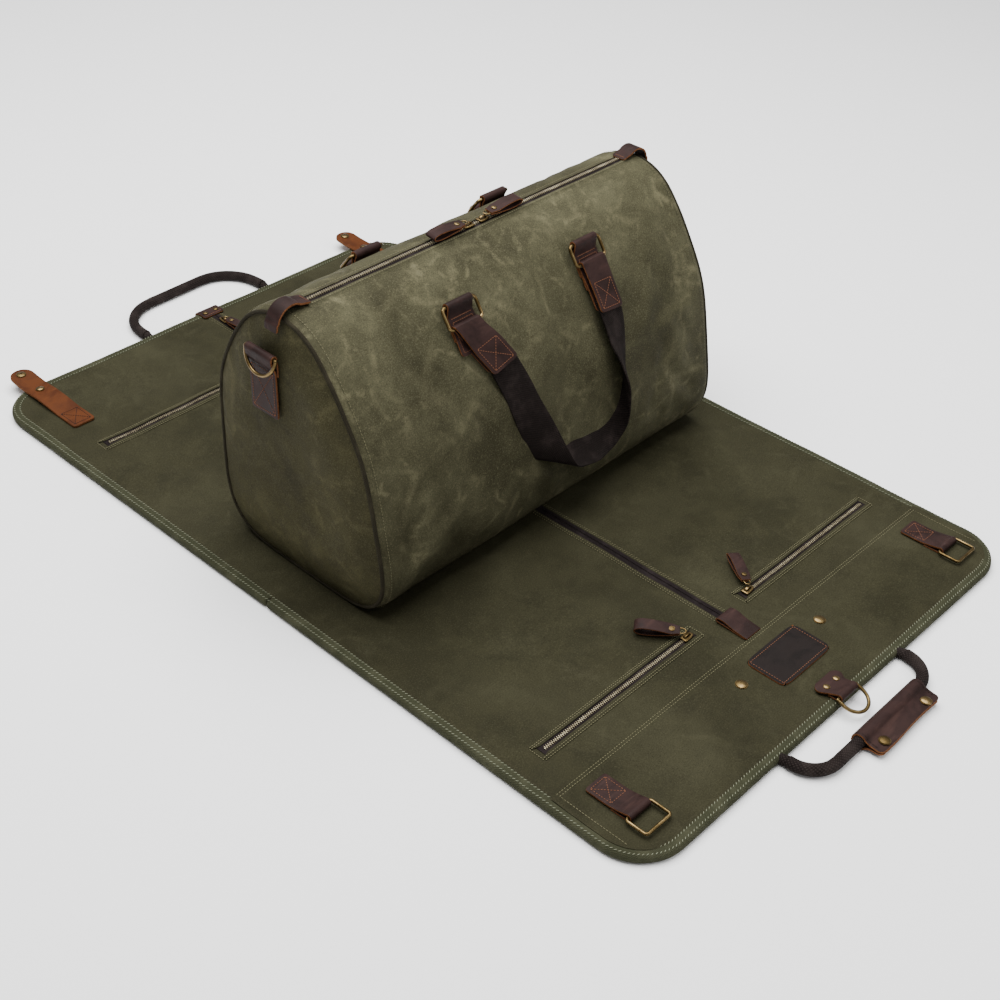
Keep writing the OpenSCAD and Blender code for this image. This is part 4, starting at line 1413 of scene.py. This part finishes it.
def seam_piping():
    cords = []
    for sign in (-1, 1):
        rim = section(4.6, 220)[0]
        line = np.column_stack([np.full(len(rim), DUFFEL_X + sign * (SEAM_X + 0.6)), rim])
        line = np.vstack([line, line[:1]])
        # the piping's darker canvas is painted shade along the seam
        cords.append(tube(line, 2.0, [SHADED_PIPING], sides=12, step=4.0, smooth=False))
        # the row of stitches that holds the piping, on the body's side
        row, out, _ = section(0.6, 400)
        keep = row[:, 1] > 14
        points = np.column_stack([np.full(len(row), DUFFEL_X + sign * (SHOULDER_X + 8.5)), row])
        faces = np.column_stack([np.full(len(row), sign * 0.25), out])
        start = int(np.argmax(~keep))
        points, faces, keep = (np.roll(part, -start, 0) for part in (points, faces, keep))
        sew("duffel", PALE_THREAD, points[keep], faces[keep], pitch=3.4, length=2.4, width=0.7, lift=0.1)
    finish(join(cords), "duffel_seam_piping", body="duffel", stands_for=["duffel_piping"], angle=60)


def inner_lining():
    """The lining, just inside the canvas, closed at the ends."""
    columns = np.linspace(-SHOULDER_X + 4, SHOULDER_X - 4, 40)
    obj, i, j = grid(len(columns) - 1, 96)
    ring, _, girth = section(9.5, 96)
    x, yz = columns[i], ring[j % 96]
    place_points(obj, np.stack([x + DUFFEL_X, yz[:, 0], yz[:, 1]], 1) * MM)
    lay_cloth(obj, x, j / 96 * girth)
    obj.data.materials.append(LINING)
    close_seam(obj)
    finish(obj, "duffel_cotton_lining", body="duffel", stands_for=["duffel_lining"], angle=60)


duffel_shell()
end_panel(-1)
end_panel(1)
seam_piping()
inner_lining()


# ---- the duffel's top zip ----

RIDGE_Y, RIDGE_Z = 25.0, 301.0


def top_zip():
    x0, x1 = DUFFEL_X - 226, DUFFEL_X + 226
    mid = np.linspace(x0, x1, 90)

    def row(y, rise):
        """Points along the zip, this far across from its middle and above the ridge."""
        return np.column_stack([mid, RIDGE_Y + y + 0 * mid, RIDGE_Z + rise + 0 * mid])

    ribbon = Ribbon(row(-8.2, 0), row(8.2, 0), smooth=False)
    tape = strip(ribbon, 0.7, [ZIP_TAPE], step=5, across=10, puff=0.6)
    finish(tape, "top_zip_tape", body="duffel", stands_for=["top_zip"])

    def teeth(at):
        return np.column_stack([x0 + 3 + at, np.full(len(at), RIDGE_Y), np.full(len(at), RIDGE_Z + 1.5)])

    zip_teeth("top_zip_teeth", teeth, x1 - x0 - 6, "duffel", 1.25)
    folds = []
    for edge in (-1, 1):
        wave = 0.25 * np.sin(mid / 15 + edge) + 0.2 * np.sin(mid / 37)
        inner, outer = row(edge * (5.6 - wave * 0.5), 1.35 + wave * 0.3), row(edge * 14.5, -3.0)
        folds.append(strip(between(inner, outer, edge), 1.0, [DUFFEL_CANVAS], step=5, puff=0.45))
        sew_up("duffel", PALE_THREAD, row(edge * 8.6, 1.5), pitch=3.1, length=2.3, width=0.8)
    finish(join(folds), "top_zip_canvas_edges", body="duffel")


top_zip()


def end_leathers():
    """The loops over the ends of the top zip, and the tabs that hold the end rings."""
    pieces = []
    for sign in (-1, 1):
        # each point is (out from the duffel's middle, height)
        loop = [(221.5, RIDGE_Z + 1.9), (227, RIDGE_Z + 3.4)]
        for t in np.linspace(math.radians(125), math.radians(12), 10):
            loop.append((244 + 17.6 * math.cos(t), RIDGE_Z - 9.4 + 17.4 * math.sin(t)))
        loop += [(262.6, 294.0), (263.6, 287.0)]
        line = [(DUFFEL_X + sign * out, RIDGE_Y, z) for out, z in loop]
        ribbon = straight_ribbon(line, (0, sign, 0), 17)
        pieces.append(leather(ribbon, 2.0, corners=(3, 2), step=1.4))
        sew_on(ribbon, "duffel", RUST_THREAD, [(3.2, -6), (3.2, 6)], above=1.05, pitch=2.8)
        # ring tab: down the end panel, over the ring's bar and back
        bar_x, bar_y, bar_z, r = 270.0, 34.0, 262.0, 3.3
        tab = [(268.0, -66), (268.1, -50), (268.3, -30), (268.8, -15), (bar_x + r - 1.4, -8)]
        tab += [(bar_x + r * math.cos(t), r * math.sin(t)) for t in np.linspace(-0.35, math.pi + 0.35, 9)]
        tab += [(266.0, -9), (266.0, -20)]
        line = [(DUFFEL_X + sign * out, bar_y, bar_z + z) for out, z in tab]
        ribbon = straight_ribbon(line, (0, -sign, 0), 37)
        pieces.append(leather(ribbon, 1.9, corners=(3, 0), step=1.6, across=10))
        sew_box(ribbon, "duffel", RUST_THREAD, 3.5, 50, 15.2, above=1.0, pitch=2.9, length=2.3, width=0.75)
    name = "duffel_end_leather_tabs"
    finish(join(pieces), name, body="duffel", stands_for=["duffel_end_leathers"])


end_leathers()

# ---- zip sliders and pulls ----


def slider_parts():
    """A slider at the origin, its nose along +X and its underside at z = 0."""
    bpy.ops.mesh.primitive_cube_add(size=1, location=(0, 0, 0))
    plate = bpy.context.object
    edit(plate, WHOLE, ("subdivide", {"number_cuts": 3}))
    co = points_of(plate)
    waist = 1 - 0.30 * np.clip(co[:, 0] + 0.15, 0, 1) ** 1.5 * 2
    co[:, 1] *= np.where(co[:, 0] > 0.4, 0.62, waist)
    co[:, 2] *= 1 - 0.18 * (np.abs(co[:, 1]) * 2) ** 2
    co = co * [14.0, 8.8, 2.3]
    co[:, 2] += 1.3
    place_points(plate, co * MM)
    modify(plate, "SUBSURF", levels=1, render_levels=1)
    arch = [(-4.8, 0, 2.0), (-4.6, 0, 3.4), (-2.8, 0, 4.6), (0.6, 0, 4.7), (3.0, 0, 3.9), (4.0, 0, 2.0)]
    ribbon = straight_ribbon(arch, (0, 1, 0), 2.6)
    return join([plate, strip(ribbon, 0.9, [BRASS], step=0.8, across=2, offset=0, soft=0.25)])


def pull_parts(gap, roll):
    """A folded leather pull that leaves the slider along +X, with its rivet and ring."""
    # the upper half's side view, with how much of the loop's gap each point takes
    half = [(4.6, 0.9, 0), (7.5, 1.0, 0), (13, 1.25, 0), (20, 1.6, 0.35)]
    half += [(30, 2.0, 0.8), (40, 1.9, 1), (46, 1.2, 0.75)]
    upper = [(x, z + gap * share) for x, z, share in half]
    line = upper + [(48.6, 0.0)] + [(x, -z) for x, z in upper[::-1]]
    left, right = ([(x, s * (5.0 if x < 9 else 6.3), z) for x, z in line] for s in (-1, 1))
    loop = leather(Ribbon(left, right), 1.45, step=1.2)
    rivets = [stud((12.5, 0, s * 1.9), s * UP, 2.9, 1.2) for s in (1, -1)]
    oval = [(3.0 + 4.3 * math.cos(t), 3.2 * math.sin(t), 0.0) for t in np.linspace(0, 2 * math.pi, 25)]
    metal = join(rivets + [tube(oval, 0.75, [BRASS], sides=10, step=0.9, smooth=False)])
    turn = np.array([[1, 0, 0], [0, math.cos(roll), -math.sin(roll)], [0, math.sin(roll), math.cos(roll)]])
    for obj in (loop, metal):
        place_points(obj, points_of(obj) @ turn.T)
    return loop, metal


def put(obj, place, heading, pitch=0.0):
    """Turns a piece made along +X to its heading, tips it, and moves it to its place."""
    h, p = math.radians(heading), math.radians(pitch)
    tip = np.array([[math.cos(p), 0, -math.sin(p)], [0, 1, 0], [math.sin(p), 0, math.cos(p)]])
    turn = np.array([[math.cos(h), -math.sin(h), 0], [math.sin(h), math.cos(h), 0], [0, 0, 1]])
    place_points(obj, points_of(obj) @ (turn @ tip).T + np.array(place, float) * MM)
    return obj


def slider_and_pull(word, place, nose, heading, gap, roll, pull_z, pitch=0.0):
    """A slider that points to its nose, and its pull; a near or top pull lifts by itself."""
    lifts = not word.startswith(("far", "centre"))
    body = word + "_zip"
    pull_body, pull_nodes = (body + "_pull", [word + "_pull"]) if lifts else (body, [])
    slider = put(slider_parts(), place, nose)
    finish(slider, body + "_slider", [BRASS], body, stands_for=[word + "_slider"])
    loop, metal = pull_parts(gap, math.radians(roll))
    x, y, _ = place
    way = math.radians(heading)
    foot = (x + PULL_OFF * math.cos(way), y + PULL_OFF * math.sin(way), pull_z)
    put(loop, foot, heading, pitch)
    put(metal, foot, heading, pitch)
    finish(loop, word + "_leather_pull", body=pull_body, stands_for=pull_nodes)
    finish(metal, word + "_pull_rivet_and_ring", [BRASS], pull_body)


PULL_OFF = 3.0
TEETH_TOP = 11.4
LOW, HIGH = TEETH_TOP - 0.6, 302.2
# each zip's word, its slider's place and nose, its pull's heading, gap, roll, height and pitch
PULLS = (
    ("near_left", (-50, -ZIP_Y, LOW), 0, 125, 3.0, -12, 18.6, -1.0),
    ("near_right", (50, -ZIP_Y, LOW), 0, 55, 0.8, 4, 17.6, -1.0),
    ("far_left", (-50, ZIP_Y, LOW), 0, 235, 0.9, 0, 16.5),
    ("far_right", (50, ZIP_Y, LOW), 0, -55, 0.9, 0, 16.5),
    ("centre", (0, 444, LOW), 90, 270, 0.9, 0, 16.5),
    ("top_left", (DUFFEL_X - 11, RIDGE_Y, HIGH), 180, 180, 1.6, -8, 308.2, 1.0),
    ("top_right", (DUFFEL_X + 11, RIDGE_Y, HIGH), 0, 0, 1.6, 8, 308.2, 1.0),
)
for row in PULLS:
    slider_and_pull(*row)

# ---- the duffel's handles ----

FOLD_R = 3.3  # how round the leather folds over a ring's bar
FRONT_BAR, FRONT_LOW = (-41.0, 276.0), (-53.62, 257.98)
REAR_BAR, REAR_LOW = (86.0, 281.0), (99.54, 263.66)


def anchor(x, bar, side):
    """A leather strip sewn to the duffel that holds a handle ring's upper bar."""
    def down(s, off):
        # a point s below the bar along the skin, and off from it
        foot, way = skin(bar[0] + side * s * 0.53, bar[1] - s * 0.85)
        return foot[0] + way[0] * off, foot[1] + way[1] * off

    way = skin(*bar)[1]
    lie = math.atan2(way[1], way[0])
    rows = [down(s, o) for s, o in ((50, 3.1), (38, 3.2), (26, 3.3), (15, 3.6), (9, 4.4))]
    # round the bar: from the side that looks out, over the top, to the skin
    for t in np.linspace(-0.35, math.pi + 0.25, 10):
        rows.append((bar[0] + FOLD_R * math.cos(lie + side * t), bar[1] + FOLD_R * math.sin(lie + side * t)))
    rows += [down(s, 1.0) for s in (10, 20, 34)]
    ribbon = straight_ribbon([(x, y, z) for y, z in rows], (side, 0, 0), 33)
    obj = leather(ribbon, 1.9, corners=(4, 0), step=1.6, across=8)
    sew_on(ribbon, "duffel", RUST_THREAD, [(37.5, -13.5), (37.5, 13.5)], above=1.0, pitch=2.8)
    sew_box(ribbon, "duffel", RUST_THREAD, 3.5, 34, 13.2, cross=False, above=1.0, pitch=2.9, width=0.7)
    return obj


BARS = ((FRONT_BAR, -1), (REAR_BAR, 1))
loops = [anchor(DUFFEL_X + s * 91, bar, side) for bar, side in BARS for s in (-1, 1)]
finish(join(loops), "handle_anchor_leathers", body="duffel", stands_for=["handle_loops"])


# The front strap hangs askew: its left leg folds under at the bottom and comes up on the right.
FRONT_STRAP = [
    ((-82, -73.0, 223), (-50, -73.0, 232)),
    ((-77.5, -79.6, 213), (-45.0, -79.6, 222)),
    ((-67, -90.5, 182), (-32, -90.5, 191)),
    ((-60, -98, 157), (-24, -99, 167)),
    ((-49, -103, 126), (-15, -111, 141)),
    ((-42, -105.5, 112), (-9, -126, 114)),
    ((-36, -107, 103.5), (-2, -134, 95)),
    ((-27, -106.5, 101.5), (7, -133.5, 86)),
    ((-6, -106.6, 99), (19, -130, 79)),
    ((20, -107.4, 97.5), (31, -128.5, 74.5)),
    ((46, -108, 98), (47, -127, 71)),
    ((64, -107.4, 99), (64, -123.5, 70.5)),
    ((82, -106, 104), (80, -122, 75)),
    ((95, -104, 113), (90, -125, 92)),
    ((103, -102.5, 126), (90, -127, 116)),
    ((107, -101, 143), (88, -125, 143)),
    ((110, -98, 158), (86, -113, 166)),
    ((113, -93.5, 176), (84, -99, 184)),
    ((115.5, -86.5, 200), (82.5, -88, 205)),
    ((115.5, -79.6, 216), (82, -79.8, 218)),
    ((115.0, -74.6, 224), (81.5, -75.0, 226)),
]
# The rear strap's middle line, and how far its face turns up at the bottom.
REAR_STRAP = [
    (-82, 117, 224, 0.0),
    (-81, 120.5, 215, 0.03),
    (-78, 129.5, 180, 0.08),
    (-73, 131.5, 145, 0.16),
    (-62, 133, 112, 0.28),
    (-42, 134.5, 88, 0.38),
    (-12, 136, 75, 0.42),
    (20, 136, 75, 0.42),
    (50, 134.5, 86, 0.38),
    (73, 133, 110, 0.28),
    (86, 131.5, 145, 0.16),
    (91, 129.5, 180, 0.08),
    (94, 120.5, 215, 0.03),
    (95, 117, 224, 0.0),
]


def handle_strap(word, rows):
    """The webbing of one handle, from the two edges at each of its points."""
    ribbon = Ribbon(*zip(*rows), per=8)
    obj = strip(ribbon, 2.0, [WEBBING], step=2.2, across=8, offset=0, soft=0.6)
    node = word + "_handle_strap"
    finish(obj, word + "_handle_webbing", body=word + "_strap", stands_for=[node])


def rear_rows():
    """The two edges of the rear strap at each point of its middle line."""
    rows = []
    for k, (x, y, z, lean) in enumerate(REAR_STRAP):
        before, after = REAR_STRAP[max(k - 1, 0)], REAR_STRAP[min(k + 1, len(REAR_STRAP) - 1)]
        run = unit(np.array(after[:3], float) - np.array(before[:3], float))
        flat = unit(np.cross(run, [0, -1.0, 0]))
        turn = lean * math.pi / 2
        wide = 17.0 * unit(flat * math.cos(turn) - np.array([0, 1.0, 0]) * math.sin(turn))
        rows.append((np.array([x, y, z]) - wide, np.array([x, y, z]) + wide))
    return rows


handle_strap("front", FRONT_STRAP)
handle_strap("rear", rear_rows())


def leather_end(low, edges, bar_x, side, group):
    """Leather folded over a ring's lower bar, its two layers sewn over the webbing's end."""
    left_edge, right_edge = np.array(edges, float)
    end = (left_edge + right_edge) / 2
    across = unit(right_edge - left_edge)
    top = np.array([bar_x, *low])
    run = unit(end - top)
    out = unit(np.cross(across, run))
    if out[1] * side < 0:
        out = -out
    flat_x = np.array([1.0, 0, 0])
    rows = []
    # down the outside: the share of the way to the bar, how far out, how much the webbing's own slope
    for share, off, slope in ((0, 2.7, 1.0), (0.2, 3.2, 1.0), (0.5, 3.3, 0.9), (0.86, 3.3, 0.0)):
        wide = unit(across * slope + flat_x * (1 - slope))
        rows.append((end * (1 - share) + top * share + out * off, wide))
    for t in np.linspace(0.25, math.pi - 0.25, 8):
        rows.append((top + out * FOLD_R * math.cos(t) - run * FOLD_R * math.sin(t), flat_x))
    for share, off, wide in ((0.86, 2.9, flat_x), (0.6, 2.6, across), (0.05, 2.5, across)):
        rows.append((end * (1 - share) + top * share - out * off, wide))
    left, right = ([p + s * wide * 16.8 for p, wide in rows] for s in (-1, 1))
    ribbon = Ribbon(right, left) if side < 0 else Ribbon(left, right)
    obj = leather(ribbon, 1.9, corners=(4, 4), across=8)
    sew_box(ribbon, group, RUST_THREAD, 3.6, 32, 12.8, above=1.0, pitch=2.8, length=2.3, width=0.8)
    return obj


BARS_X = (-85.0, 97.0)
# for each of a handle's leather ends, the webbing's two edges where it starts
FRONT_EDGES = (((-75.5, -82.0, 209), (-44.5, -82.0, 218)), ((81.5, -82.5, 214), (115.5, -82.5, 211)))
REAR_EDGES = (((-98.5, 121, 214), (-65.5, 121, 214)), ((78, 121, 214), (111, 121, 214)))
for word, low, side, edges in (("front", FRONT_LOW, -1, FRONT_EDGES), ("rear", REAR_LOW, 1, REAR_EDGES)):
    ends = [leather_end(low, pair, x, side, word + "_strap") for pair, x in zip(edges, BARS_X)]
    finish(join(ends), word + "_handle_leather_ends", body=word + "_strap")

# ---- stitches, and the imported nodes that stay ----

THREAD_SLOT = {
    "olive_thread": "panel_canvas",
    "binding_thread": "binding_tape",
    "rust_thread": "dark_leather",
    "dark_thread": "tan_leather",
}
for (group, thread), rows in seams.items():
    where, ahead, side, up = (np.concatenate([r[k] for r in rows]) for k in range(4))
    obj = copies(f"{group}_{thread}", STITCH, where, ahead, side, up)
    slot = "duffel_canvas" if (group, thread) == ("duffel", "olive_thread") else THREAD_SLOT[thread]
    finish(obj, f"{group}_{thread}", [bpy.data.materials[thread]], angle=60)
    if group == "near_panel":
        over_fold(obj, -1)
    elif group == "far_panel":
        over_fold(obj, 1)
    else:
        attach(obj, group)

KEPT = {
    BRASS: "near_edge_ring corner_ring_left corner_ring_right end_ring_left end_ring_right "
    "front_handle_rings rear_handle_rings",
    BOARD: "duffel_base_board",
}
for material, nodes in KEPT.items():
    for node in nodes.split():
        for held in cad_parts[node].material_slots:
            held.material = material
